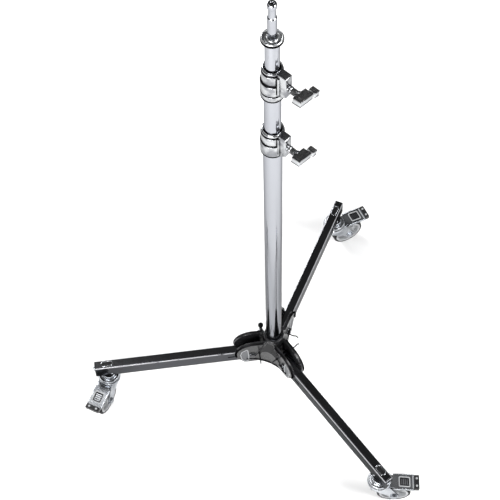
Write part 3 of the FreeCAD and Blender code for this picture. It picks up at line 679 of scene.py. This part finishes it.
thread = Recipe("cut_thread", Radius="Float", Turns="Float", Length="Float", Thickness="Float")
helix = thread.node("GeometryNodeCurveSpiral", {}, {
    "Resolution": 28, "Rotations": thread.given("Turns"), "Start Radius": thread.given("Radius"),
    "End Radius": thread.given("Radius"), "Height": thread.given("Length"),
})
section = thread.node(CIRCLE, {}, {"Resolution": 6, "Radius": thread.given("Thickness")})
swept(thread, helix, section, **{"Fill Caps": True})

rod = Recipe("bent_rod", Thickness="Float", Bend="Float")
path = rod.node("GeometryNodeMeshToCurve", {}, {0: rod.given("Shape")})
path = rod.node(FILLET, {"mode": "POLY"}, {
    "Curve": path, "Count": 6, "Radius": rod.given("Bend"), "Limit Radius": True,
})
section = rod.node(CIRCLE, {}, {"Resolution": 12, "Radius": rod.given("Thickness")})
swept(rod, path, section, **{"Fill Caps": True})

drawn = Recipe("drawn_tube", Middle="Float", Wall="Float", Length="Float", Edge="Float")
path = drawn.node(CIRCLE, {}, {"Resolution": 144, "Radius": drawn.given("Middle")})
section = drawn.node("GeometryNodeCurvePrimitiveQuadrilateral", {}, {
    "Width": drawn.given("Wall"), "Height": drawn.given("Length"),
})
section = drawn.node(FILLET, {"mode": "POLY"}, {
    "Curve": section, "Count": 3, "Radius": drawn.given("Edge"),
})
swept(drawn, path, section)
print("thread, rod and tube recipes ready")

# %% Bead helper


def bead(name, points, shader, body, place, thickness, bend=0.0, closed=False):
    """Run the rod recipe along a row of points."""
    count = len(points)
    links = [(k, (k + 1) % count) for k in range(count if closed else count - 1)]
    sizes = {"Thickness": thickness, "Bend": bend}
    return rod.make(name, shader, body, place, shape=(points, ()), edges=links, **sizes)


print("bead helper ready")

# %% [markdown]
# ## The column
# A drawn steel tube is a ring of wall swept round its axis. That is a rule, so the three
# tubes come from one recipe: a circle carries a thin upright rectangle with rounded
# corners. Each tube is given by its outer radius and the heights of its two ends.

# %% Three tubes
WALL = 1.4
TUBES = {
    "base_tube": (17.5, 110.0, 1003.0),
    "middle_tube": (15.0, 154.1, 1180.0),
    "top_tube": (12.5, 198.1, 1265.0),
}
for name, (outer, low, high) in TUBES.items():
    sizes = {"Middle": outer - WALL / 2, "Wall": WALL, "Length": high - low, "Edge": 0.5}
    place = shift(0, 0, (low + high) / 2)
    tube = drawn.make("drawn_" + name, chrome, None, place, instead_of=name, **sizes)
    print(name, len(tube.data.polygons), "faces")

# %% [markdown]
# ## Stud and socket
# The stud takes the lamp head. It is turned steel: a plain shank, a groove for the
# locking screw and a head with a small tapped hole. Under it a cup closes the tube, with
# a rolled rim round a dish, and a near-black ring below the rim is painted shade. All are
# outlines turned on the lathe helper, and the tapped hole gets a thread from the recipe.

# %% Stud
stud_outline = [
    (0, 1240), (7.5, 1240), (7.5, 1273), (8, 1273.6), (8, 1320.5), (7.6, 1321.4), (6.3, 1322.9),
    (6.3, 1343.1), (8, 1345), (8, 1352.6), (6.6, 1355), (3.3, 1355), (2.6, 1354.2), (2.6, 1349),
    (0, 1349),
]
lathe("turned_stud", stud_outline, chrome, None, soft=0.6, instead_of="stud")
sizes = {"Radius": 2.5, "Turns": 6.0, "Length": 4.8, "Thickness": 0.28}
thread.make("stud_thread", black_steel, "top_riser", shift(0, 0, 1349.2), **sizes)
print("stud top at", max(height for _, height in stud_outline), "mm")

# %% Socket
socket_outline = [
    (0, 1235), (10.9, 1235), (10.9, 1264.9), (14.5, 1264.9), (17.2, 1265.6), (18.5, 1267.4),
    (18.5, 1270.4), (17.4, 1272), (16.2, 1271.8), (15.2, 1270.2), (14.0, 1267.6), (12.0, 1267.5),
    (9.4, 1271.2), (8.2, 1271.6), (7.55, 1271.0), (7.55, 1240), (0, 1239.9),
]
lathe("turned_socket", socket_outline, satin, None, soft=0.7, instead_of="stud_socket")
# A near-black ring below the socket's rim is painted shade.
rim_shade_ring = [
    (14.0, 1262.8), (17.6, 1263.0), (19.3, 1265.0), (19.3, 1268.8), (18.2, 1269.2), (14.0, 1266.0),
]
lathe("socket_gasket", rim_shade_ring, ink, "top_riser", steps=3, loop=True)
print("socket done")

# %% [markdown]
# ## Collars
# A collar is a casting pushed on the mouth of one tube; it guides the next tube and
# carries its clamp. Its outside is a stack of bands with a groove at each joint. A
# near-black ring in each groove is painted shade, and so are another under the foot and one
# more in the mouth; they draw the rings that show from afar. A boss stands out to one side,
# flat on its faces, for the clamp screw, and a broad saddle ties it to the bands. A
# near-black rod along each side of the saddle is the painted shade of the corner where it
# meets the collar. Bands and shade rings are turned outlines, and boss and saddle are
# plates with true bevels.

# %% Collar bodies
COLLARS = {
    "lower": ("base", 17.5, 15.0, [(954, 986, 22.3), (986, 1009, 21.1), (1009, 1017, 20.0)]),
    "upper": (
        "middle_riser", 15.0, 12.5,
        [(1119, 1133, 20.6), (1133, 1161, 20.8), (1161, 1186, 18.9), (1186, 1194, 17.7)],
    ),
}


def band_stack(inner, mouth, bands):
    """Closed outline of a collar: bands with a groove at each joint, then the mouth."""
    outline = []
    for low, high, radius in bands:
        groove = radius - 1.7
        outline += [(groove, low), (groove, low + 0.6), (radius, low + 2.0)]
        outline += [(radius + 0.35, (low + high) / 2), (radius, high - 2.0), (groove, high - 0.7)]
    top, shoulder, wall = bands[-1][1], mouth + 0.4, inner + 0.1
    outline += [(groove, top), (mouth + 2.2, top), (mouth + 1.5, top - 1.6), (shoulder, top - 2.4)]
    return outline + [(shoulder, top - 13.8), (wall, top - 13.9), (wall, bands[0][0])]


for level, (body, inner, mouth, bands) in COLLARS.items():
    stack = band_stack(inner, mouth, bands)
    lathe(level + "_collar_bands", stack, cast, None, soft=0.8, steps=3, segments=112, loop=True,
          instead_of=level + "_collar")
    # A near-black ring in each joint's groove is painted shade.
    for count, ((low, _, above), (_, _, radius)) in enumerate(zip(bands[1:], bands)):
        back, front = above - 1.6, radius + 0.15
        shade_ring = [(back, low - 1.3), (front, low - 1.3), (front, low + 0.3), (above + 0.5, low + 1.9)]
        shade_ring.append((back, low + 1.9))
        lathe("%s_seal_%d" % (level, count), shade_ring, ink, body, steps=3, loop=True)
    # A near-black ring under the collar's foot is painted shade.
    low, _, width = bands[0]
    back, front = inner + 0.1, width + 0.1
    shade_ring = [(back, low - 3.0), (width - 1.4, low - 3.0), (front, low - 1.2), (front, low + 0.4)]
    shade_ring.append((back, low + 0.4))
    lathe(level + "_foot_seal", shade_ring, ink, body, soft=0.5, steps=3, loop=True)
    # A near-black ring in the collar's mouth is painted shade.
    top = bands[-1][1]
    mouth_shade_ring = [(mouth + 0.12, top - 2.3), (mouth + 1.5, top - 2.2), (mouth + 1.5, top - 0.9)]
    mouth_shade_ring.append((mouth + 0.5, top - 0.6))
    lathe(level + "_wiper", mouth_shade_ring, ink, body, soft=0.3, steps=2, loop=True)
print("collars:", list(COLLARS))

# %% Clamp bosses
for level, (body, inner, _, bands) in COLLARS.items():
    top, near = bands[-1][1], inner + 0.9
    place = turn(COLUMN_CLAMP_TURN)
    side = [(inner + 1, top - 0.4), (34.8, top - 0.4), (36, top - 1.6), (36, top - 50)]
    side += [(inner + 4, top - 62), (inner + 1, top - 62)]
    piece(level + "_boss", stood(plate(side, -7.75, 7.75)), cast, body, place, bevel=1.0)
    side = [(near, top - 9), (22.6, top - 9), (22.6, top - 51), (near + 1.5, top - 58)]
    side.append((near, top - 58))
    piece(level + "_saddle", stood(plate(side, -10.6, 10.6)), cast, body, place, bevel=1.4)
    # A near-black rod along each side of the saddle is the painted shade of the corner where it
    # meets the collar.
    for hand, wall in (("left", -10.8), ("right", 10.8)):
        corner_shade = [(18.3, wall, top - 10), (18.3, wall, top - 52)]
        bead("%s_seam_%s" % (level, hand), corner_shade, ink, body, place, 0.9)
    lip = [(4.3, 35.4), (7.0, 35.4), (7.0, 36.9), (6.2, 37.6), (4.3, 37.6)]
    along = clamp_place[level] @ turn(90, "Y")
    lathe(level + "_boss_lip", lip, cast, body, along, 0.5, 3, 48, loop=True)
print("bosses done")

# %% [markdown]
# ## Clamp handles
# The handle is a T that a gloved hand can turn: a knurled neck, then a broad satin block
# with a notch and a small tail. Dark covers lie on both faces of block and tail, with fine
# ribs for grip. The ribs and the knurl are rows and rings of one thin rib, so the recipes
# make them.

# %% Handles
block = [
    (56.5, -16.5), (73.5, -15.5), (74, 16), (72.5, 18), (76, 20.5), (76, 30),
    (61, 30), (61, 19.5), (66, 19.5), (66, 15.5), (56.5, 15.5),
]
pad = [(56.2, -16.8), (73.8, -15.8), (74.2, 16.2), (66.4, 16.2), (66.4, 15.8), (56.2, 15.8)]
tip = [(61.2, 20.4), (76.4, 20.4), (76.4, 30.3), (61.2, 30.3)]
grip_rib = plate([(57.9, -0.28), (72.3, -0.28), (72.3, 0.28), (57.9, 0.28)], -0.2, 0.35)
tail_rib = plate([(62.2, -0.28), (74.8, -0.28), (74.8, 0.28), (62.2, 0.28)], -0.2, 0.35)
RIB_ROWS = {"grip": (grip_rib, -13.6, 18, 1.6), "tail": (tail_rib, 21.6, 5, 1.7)}
neck = [
    (4.1, 38.2), (6.2, 38.2), (6.9, 39.2), (6.9, 41.5), (5.6, 42.4), (5.6, 52.5), (7.4, 54.2),
    (7.4, 57.5), (4.1, 57.5),
]
flute = plate([(-0.35, -0.42), (0.55, -0.42), (0.55, 0.42), (-0.35, 0.42)], 43.2, 51.6)
for level in COLLARS:
    body = level + "_clamp"
    grip = clamp_place[level] @ turn(-13, "X")
    piece(level + "_handle_block", plate(block, -4.4, 4.4), satin, None, grip, bevel=0.8,
          instead_of=level + "_clamp_handle")
    for face, way, flip in ((6, 1, 0), (-6, -1, 180)):
        for part, outline in (("pad", pad), ("tip", tip)):
            cover = plate(outline, *sorted((face, face * 0.7)))
            piece("%s_grip_%s_%d" % (level, part, face), cover, dark, body, grip, bevel=0.7)
        for part, (rib, start, count, step) in RIB_ROWS.items():
            place = grip @ shift(0, start, face) @ turn(flip, "X")
            row.make("%s_%s_ribs_%d" % (level, part, face), dark, body, place, shape=rib,
                     Count=count, Step=(0, step * way, 0))
    along = clamp_place[level] @ turn(90, "Y")
    lathe(level + "_neck", neck, cast, body, along, 0.5, 3, 56, loop=True)
    ring.make(level + "_neck_knurl", dark, body, along, shape=flute, Count=20, Radius=5.6)
print("handles done")

# %% [markdown]
# ## The hub
# The hub is one black casting with three forked arms. The built casting already has every
# arm, panel and bore, so it only gets what the foundry adds: a rounded bead along the arch
# of each cheek, a grey plate and a rim in each sunk panel, two beads along the bay between
# two arms, and a rolled lip round the sleeve. The arch beads and the upper bay bead are
# near-black, painted shade; the grey plate is a painted reflection of the floor, and the
# pale rim round it a painted highlight. A bead follows a path, so it is a bent rod: a curve
# along the path carries a small circle.

# %% Hub beads
dress(hub_black, "hub")
ARCH_ALONG, ARCH_HEIGHT, ARCH_RADIUS, CHEEK_OUTER = 46.0, 150.0, 43.0, 15.0
PANEL = [
    (0.72, -0.14), (0.64, 0.21), (0.40, 0.42), (0.34, 0.36), (0.29, -0.28), (0.31, -0.84),
    (0.49, -0.92), (0.66, -0.63),
]
arch = arc(ARCH_ALONG, ARCH_HEIGHT, ARCH_RADIUS - 1.4, -14, 4.75, 25)
arch.append((24.0, ARCH_HEIGHT + ARCH_RADIUS - 1.4))
bay = arc(63.5, 110, 95, -90, -5, 13)
for side in SIDES:
    place = leg_place[side]
    for wall in (-CHEEK_OUTER, CHEEK_OUTER):
        path = [(x, wall * 1.03, z) for x, z in arch]
        # The near-black bead along the arch is painted shade.
        bead("%s_cheek_shade_bead_%d" % (side, wall), path, ink, "base", place, 2.4)
        rim = [(ARCH_ALONG + x * ARCH_RADIUS, wall, ARCH_HEIGHT + z * ARCH_RADIUS) for x, z in PANEL]
        sunk = plate([(x, z) for x, _, z in rim], *sorted((wall * 0.925, wall * 0.955)))
        # The grey plate in the sunk panel is a painted reflection of the floor.
        piece("%s_panel_%d" % (side, wall), stood(sunk), panel_reflection_grey, "base", place)
        # The pale rim round the panel is a painted highlight.
        bead("%s_panel_bead_%d" % (side, wall), rim, pale_grey_and_highlight, "base", place, 1.0, 1.5, True)
    # The upper, near-black bay bead is painted shade under the bay's rim; the lower one is bright
    # casting.
    for finish, thickness, level in ((ink, 2.0, 121.5), (cast, 1.4, 118.6)):
        path = [(x, y, level) for x, y in bay]
        bead("%s_bay_edge_%d" % (side, level), path, finish, "base", place, thickness)
lip = [
    (17.8, 202.0), (17.8, 203.9), (18.4, 204.5), (21.0, 204.5), (22.3, 203.6), (22.4, 201.5),
    (21.6, 200.6), (20.5, 202.0),
]
lathe("sleeve_lip", lip, hub_black, "base", soft=0.6, steps=3, loop=True)
print("cheeks with beads:", 2 * len(SIDES))

# %% [markdown]
# ## Hinge bolts and set screws
# Each leg turns on a bolt through both cheeks, locked by a nut. The washers under head and
# nut tell that it is a real fastener. The sleeve's three set screws are plain dark steel.

# %% Hinge bolts
PIVOT_ALONG, PIVOT_HEIGHT = 50, 138
dress(black_steel, "leg_pivot_bolts", "leg_pivot_nuts", "hub_set_screws")
washer = [(4.2, 0), (8.0, 0), (8.2, 0.5), (7.9, 0.95), (4.2, 0.95)]
for side in SIDES:
    for way, wall in ((-1, "head"), (1, "nut")):
        place = leg_place[side] @ shift(PIVOT_ALONG, -way * CHEEK_OUTER, PIVOT_HEIGHT)
        place = place @ turn(90 * way, "X")
        lathe("%s_%s_washer" % (side, wall), washer, zinc, "base", place, 0.25, 2, 48, loop=True)
print("washers:", 2 * len(SIDES))

# %% [markdown]
# ## Pins and plunger
# Each leg is held by a pin through the fork. Its thin end is bent so that a finger can
# pull it, which makes it another bent rod. On the hub beside the left leg stands one more
# plunger, with a bright stem, a grey sleeve and a small black knob that has a fluted edge.

# %% Leg pins
PIN_ALONG, PIN_HEIGHT = 34.7, 153.3
WIRE = [(-33.5, PIN_HEIGHT), (34, PIN_HEIGHT), (40, 157.8), (44.5, 152.3)]
shaft = [(0, -15), (2.2, -15), (2.95, -14.2), (2.95, 14.2), (2.2, 15), (0, 15)]
for side in SIDES:
    way = -1 if side == "back" else 1
    bends = [(PIN_ALONG, across * way, height) for across, height in WIRE]
    bead(side + "_pin_wire", bends, black_steel, side + "_pin", leg_place[side], 1.5, 2.5)
    along = leg_place[side] @ shift(PIN_ALONG, 0, PIN_HEIGHT) @ turn(90, "X")
    lathe(side + "_pin_shaft", shaft, black_steel, None, along, segments=32,
          instead_of=side + "_leg_pin")
print("pins:", len(SIDES))

# %% Lock plunger
plunger_place = shift(-25.5, 30.5, 0)
stem = [
    (0, 126), (1.8, 126), (3, 128), (3, 161.9), (5.5, 161.9), (5.5, 163.4), (4.6, 164.2),
    (3, 164.2), (3, 189), (0, 189),
]
sleeve = [(3.1, 165.0), (3.7, 165.0), (3.9, 166.0), (3.9, 186.4), (3.6, 187.4), (3.1, 187.4)]
knob = [(0, 188.0), (4.2, 188.0), (5.3, 189.2), (5.5, 190.5), (5.5, 194.0), (4.6, 195.8), (0, 196.2)]
knob_rib = plate([(-0.3, -0.45), (0.5, -0.25), (0.5, 0.25), (-0.3, 0.45)], 189.6, 194.4)
lathe("plunger_stem", stem, zinc, None, plunger_place, segments=40, instead_of="lock_plunger")
lathe("plunger_sleeve", sleeve, pale_grey_and_highlight, "hub_lock", plunger_place, 0.2, 2, 40, loop=True)
lathe("plunger_knob", knob, ink, "hub_lock", plunger_place, 0.7, segments=48)
ring.make("knob_flutes", ink, "hub_lock", plunger_place, shape=knob_rib, Count=18, Radius=5.4)
print("plunger knob made")

# %% [markdown]
# ## Legs
# The legs are plain rectangular tube with rounded corners, so their finish does the work.
# Up close they have a slot beside the hub, drawn as a thin black sheet that is painted
# shade, a rivet through the side walls that holds the caster's nut, a screw with a bright
# domed head in the end cap, and an oval plug with a raised rim on top.

# %% Leg fittings
SCREW_HEIGHT, RIVET_ALONG, RIVET_HEIGHT, LEG_SIDE = 135, 368, 119, 10
dome = [
    (0, 404.2), (5.0, 404.0), (5.6, 404.8), (5.3, 406.1), (4.2, 407.3), (3.3, 407.6), (2.9, 406.6),
    (2.8, 405.4), (0, 405.4),
]
hollow = [(0, 405.1), (3.0, 405.1), (3.0, 405.8), (0, 405.8)]
snap = [(0, -0.3), (2.6, -0.3), (2.5, 0.5), (1.5, 1.1), (0, 1.25)]
slot = rounded([(89.5, 128), (105.5, 128), (105.5, 132), (89.5, 132)], 1.9, loop=True)
oval = []
for step in range(48):
    swing = 2 * math.pi * step / 48
    half = math.copysign(7.0, math.cos(swing))
    oval.append((SWIVEL_ALONG + half + 5.9 * math.cos(swing), 5.9 * math.sin(swing), 151.2))
for side in SIDES:
    body, place = side + "_leg", leg_place[side]
    dress(enamel, side + "_leg_tube", side + "_end_cap")
    dress(plastic, side + "_heel_block", side + "_oval_plug")
    along = place @ shift(0, 0, SCREW_HEIGHT) @ turn(90, "Y")
    lathe(side + "_dome_screw", dome, zinc, None, along, segments=48, instead_of=side + "_cap_screw")
    lathe(side + "_screw_socket", hollow, black_steel, body, along, 0.2, segments=32)
    for hand, wall in (("right", -1), ("left", 1)):
        seat = place @ shift(RIVET_ALONG, wall * LEG_SIDE, RIVET_HEIGHT) @ turn(-90 * wall, "X")
        lathe("%s_rivet_%s" % (side, hand), snap, zinc, body, seat, 0.3, segments=28)
        # A thin black sheet on the side wall is the painted shade of a slot.
        slot_shade_sheet = plate(slot, wall * 10.05 - 0.15, wall * 10.05 + 0.15)
        piece("%s_slot_%s" % (side, hand), stood(slot_shade_sheet), ink, body, place)
    bead(side + "_oval_rim", oval, zinc, body, place, 0.7, closed=True)
print("leg fittings done")

# %% [markdown]
# ## Swivel housings
# Between the leg and each caster sits a stack of pressed rings with a row of balls in
# between. A ring is a turned outline and the balls are copies on a circle. The swaged
# rings are what catches the light from above.

# %% Swivel rings and balls
crown = [
    (17.6, 103.2), (17.8, 100.3), (20.4, 99.9), (22.0, 99.6), (22.7, 98.4), (22.5, 96.0),
    (24.4, 93.6), (25.5, 92.4), (25.6, 87.0), (24.9, 85.4), (23.5, 85.2), (23.5, 91.5), (21, 95),
    (21, 98.6), (16.9, 99.6), (16.9, 103.0),
]
race = [
    (5.3, 104.0), (12.8, 104.0), (14.2, 103.8), (15.5, 104.8), (15.7, 107.4), (15.1, 109.7),
    (5.3, 109.7),
]
half_turn = [math.pi * k / 6 for k in range(7)]
ball = turned([(1.25 * math.sin(swing), -1.25 * math.cos(swing)) for swing in half_turn], 10)
for side in SIDES:
    body, place = side + "_caster", caster_place[side]
    dress(zinc, *[side + "_" + name for name in ("swivel_race", "fork", "axle", "brake_plate")])
    lathe(side + "_crown_rings", crown, zinc, body, place, 0.7, 3, loop=True)
    lathe(side + "_race_ring", race, zinc, side + "_leg", place, 0.6, 3, 80, loop=True)
    seat = place @ shift(0, 0, 103.4)
    ring.make(side + "_swivel_balls", zinc, body, seat, shape=ball, Count=24, Radius=15.6)
print("swivels done")

# %% [markdown]
# ## Brake plates
# The plate over each wheel is pressed steel: a sunk panel with a raised frame stiffens it,
# its sides are folded down, and past a fold its end carries a ribbed black pedal on two
# rivets. The frame is a bent rod that follows the plate's own slope, drawn pale as a painted
# highlight, with a near-black rod inside it that is the painted shade of a groove. The fold
# is a pale rod too, a painted highlight, and the panel is left plain but for a few short ribs.

# %% Brake plates


def plate_height(along):
    """Height of the brake plate's top at a distance along the caster."""
    return 83.8 - max(0.0, along - 50) * 5 / 28


def on_plate(points):
    """Lay (along, across) points on top of the brake plate."""
    return [(x, y, plate_height(x)) for x, y in points]


frame_path = [(44.4, -10.6), (50, -10.6), (67.6, -10.6), (67.6, 10.6), (50, 10.6), (44.4, 10.6)]
raised = on_plate(frame_path)
groove = [(x + (2.4 if x < 50 else -2.4 if x > 60 else 0), y * 0.77, z) for x, y, z in raised]
fold = on_plate([(74.8, -14.0), (74.8, 14.0)])
stiff = [(-0.7, -6.6), (0.7, -6.6), (0.7, 6.6), (-0.7, 6.6)]
stiff = plate(rounded(stiff, 0.6, 3, loop=True), -0.4, 0.55)
pedal = [(77.2, -16.6), (88.4, -16.6), (88.4, 16.6), (77.2, 16.6)]
pedal = plate(rounded(pedal, 2.4, loop=True), 71.6, 82.1)
pedal_rib = plate([(78.8, -0.7), (87.0, -0.7), (87.0, 0.7), (78.8, 0.7)], 81.9, 82.7)
for side in SIDES:
    body, place = side + "_brake", caster_place[side]
    # The frame's pale grey is a painted highlight.
    bead(side + "_plate_frame", raised, pale_grey_and_highlight, body, place, 1.3, 2.0, closed=True)
    # The fold's pale rod is a painted highlight.
    bead(side + "_plate_fold", fold, pale_grey_and_highlight, body, place, 1.0)
    # The near-black rod inside the frame is the painted shade of a groove.
    bead(side + "_plate_groove_shade", groove, ink, body, place, 1.0, 1.5, closed=True)
    slope = place @ shift(51.5, 0, 82.45) @ turn(10, "Y")
    row.make(side + "_plate_ribs", ink, body, slope, shape=stiff, Count=3, Step=(4.6, 0, 0))
    for wall in (-1, 1):
        ends = ((31.5, 83.5), (50, 83.5), (76.5, plate_height(76.5) - 0.3))
        edge = [(x, 17.0 * wall, z) for x, z in ends]
        bead("%s_flange_bead_%d" % (side, wall), edge, zinc, body, place, 0.9, 3.0)
    piece(side + "_pedal_pad", pedal, plastic, body, place, bevel=1.6)
    for hand, wall in (("right", -8.5), ("left", 8.5)):
        seat = place @ shift(82.8, wall, 82.3)
        lathe("%s_pedal_rivet_%s" % (side, hand), snap, pale_grey_and_highlight, body, seat, 0.3, segments=28)
    first = place @ shift(0, -12.0, 0)
    row.make(side + "_pedal_ribs", plastic, body, first, shape=pedal_rib, Count=9, Step=(0, 3.0, 0))
print("brake plates done")

# %% [markdown]
# ## Wheels
# A wheel centre is moulded: a hub, a web with round windows, stiffening ribs between the
# windows and a rim. The built centre has hub, web and rim, so ribs and a ring round each
# window are added as copies on a circle, with a raised ring on the rim and a cap on the
# hub. The tyre is turned anew, with two fine grooves in its tread.

# %% Wheel ribs and tyres
shoulder = [
    (2.5, 37.5), (2.8, 36.8), (3.6, 36.8), (3.9, 37.5), (4.6, 37.5), (8.4, 37.3), (10.6, 36.4),
    (11.4, 34.9), (12, 34.4), (12, 32.55),
]
tread = [(radius, -across) for across, radius in reversed(shoulder)]
tread += [(radius, across) for across, radius in shoulder]
spoke = [(10.5, -1.0), (27.8, -1.0), (27.8, 1.0), (10.5, 1.0)]
spoke = plate(rounded(spoke, 0.3, 2, loop=True), 2.8, 5.4)
window = [(4.5, 2.9), (4.6, 3.7), (5.5, 3.7), (5.7, 2.9)]
window = turned(rounded(window, 0.2, 2, loop=True), 24, loop=True)
hub_cap = [
    (4.4, 14.3), (4.4, 14.0), (9.4, 14.0), (10.6, 13.6), (11.3, 12.2), (11.3, 10.6), (10.9, 10.6),
    (10.9, 13.2), (9.2, 14.25),
]
rim_ring = [(27.4, 11.0), (28.0, 11.6), (31.6, 11.6), (32.3, 11.0), (32.3, 10.6), (27.4, 10.6)]
for side in SIDES:
    body = side + "_wheel_set"
    dress(pale_grey_and_highlight, side + "_wheel")
    lathe(side + "_turned_tyre", tread, rubber, None, wheel_place[side], 0.3, 2, 112, loop=True,
          instead_of=side + "_tyre")
    for way in (0, 180):
        place = wheel_place[side] @ turn(way, "X")
        mark = (side, way)
        ring.make("%s_wheel_ribs_%d" % mark, pale_grey_and_highlight, body, place @ turn(36), shape=spoke,
                  Count=5, Radius=0.0)
        ring.make("%s_window_rings_%d" % mark, pale_grey_and_highlight, body, place, shape=window,
                  Count=5, Radius=19.25)
        lathe("%s_rim_ring_%d" % mark, rim_ring, pale_grey_and_highlight, body, place, steps=3, loop=True)
        lathe("%s_hub_cap_%d" % mark, hub_cap, pale_grey_and_highlight, body, place, 0.2, 2, 64, loop=True)
print("wheels done")

# %% [markdown]
# ## Inside and between
# The last pieces are seen only when the risers are drawn out or a leg is folded: guide
# bushes, rings, brake pads and the foot plug. They get their plain black plastic, and the
# clamp screws their zinc.

# %% Inner pieces
dress(plastic, "foot_plug", "middle_guide", "top_guide", "lower_guide_ring", "upper_guide_ring")
dress(plastic, "lower_brake_pad", "upper_brake_pad")
dress(zinc, "lower_clamp_screw", "upper_clamp_screw")
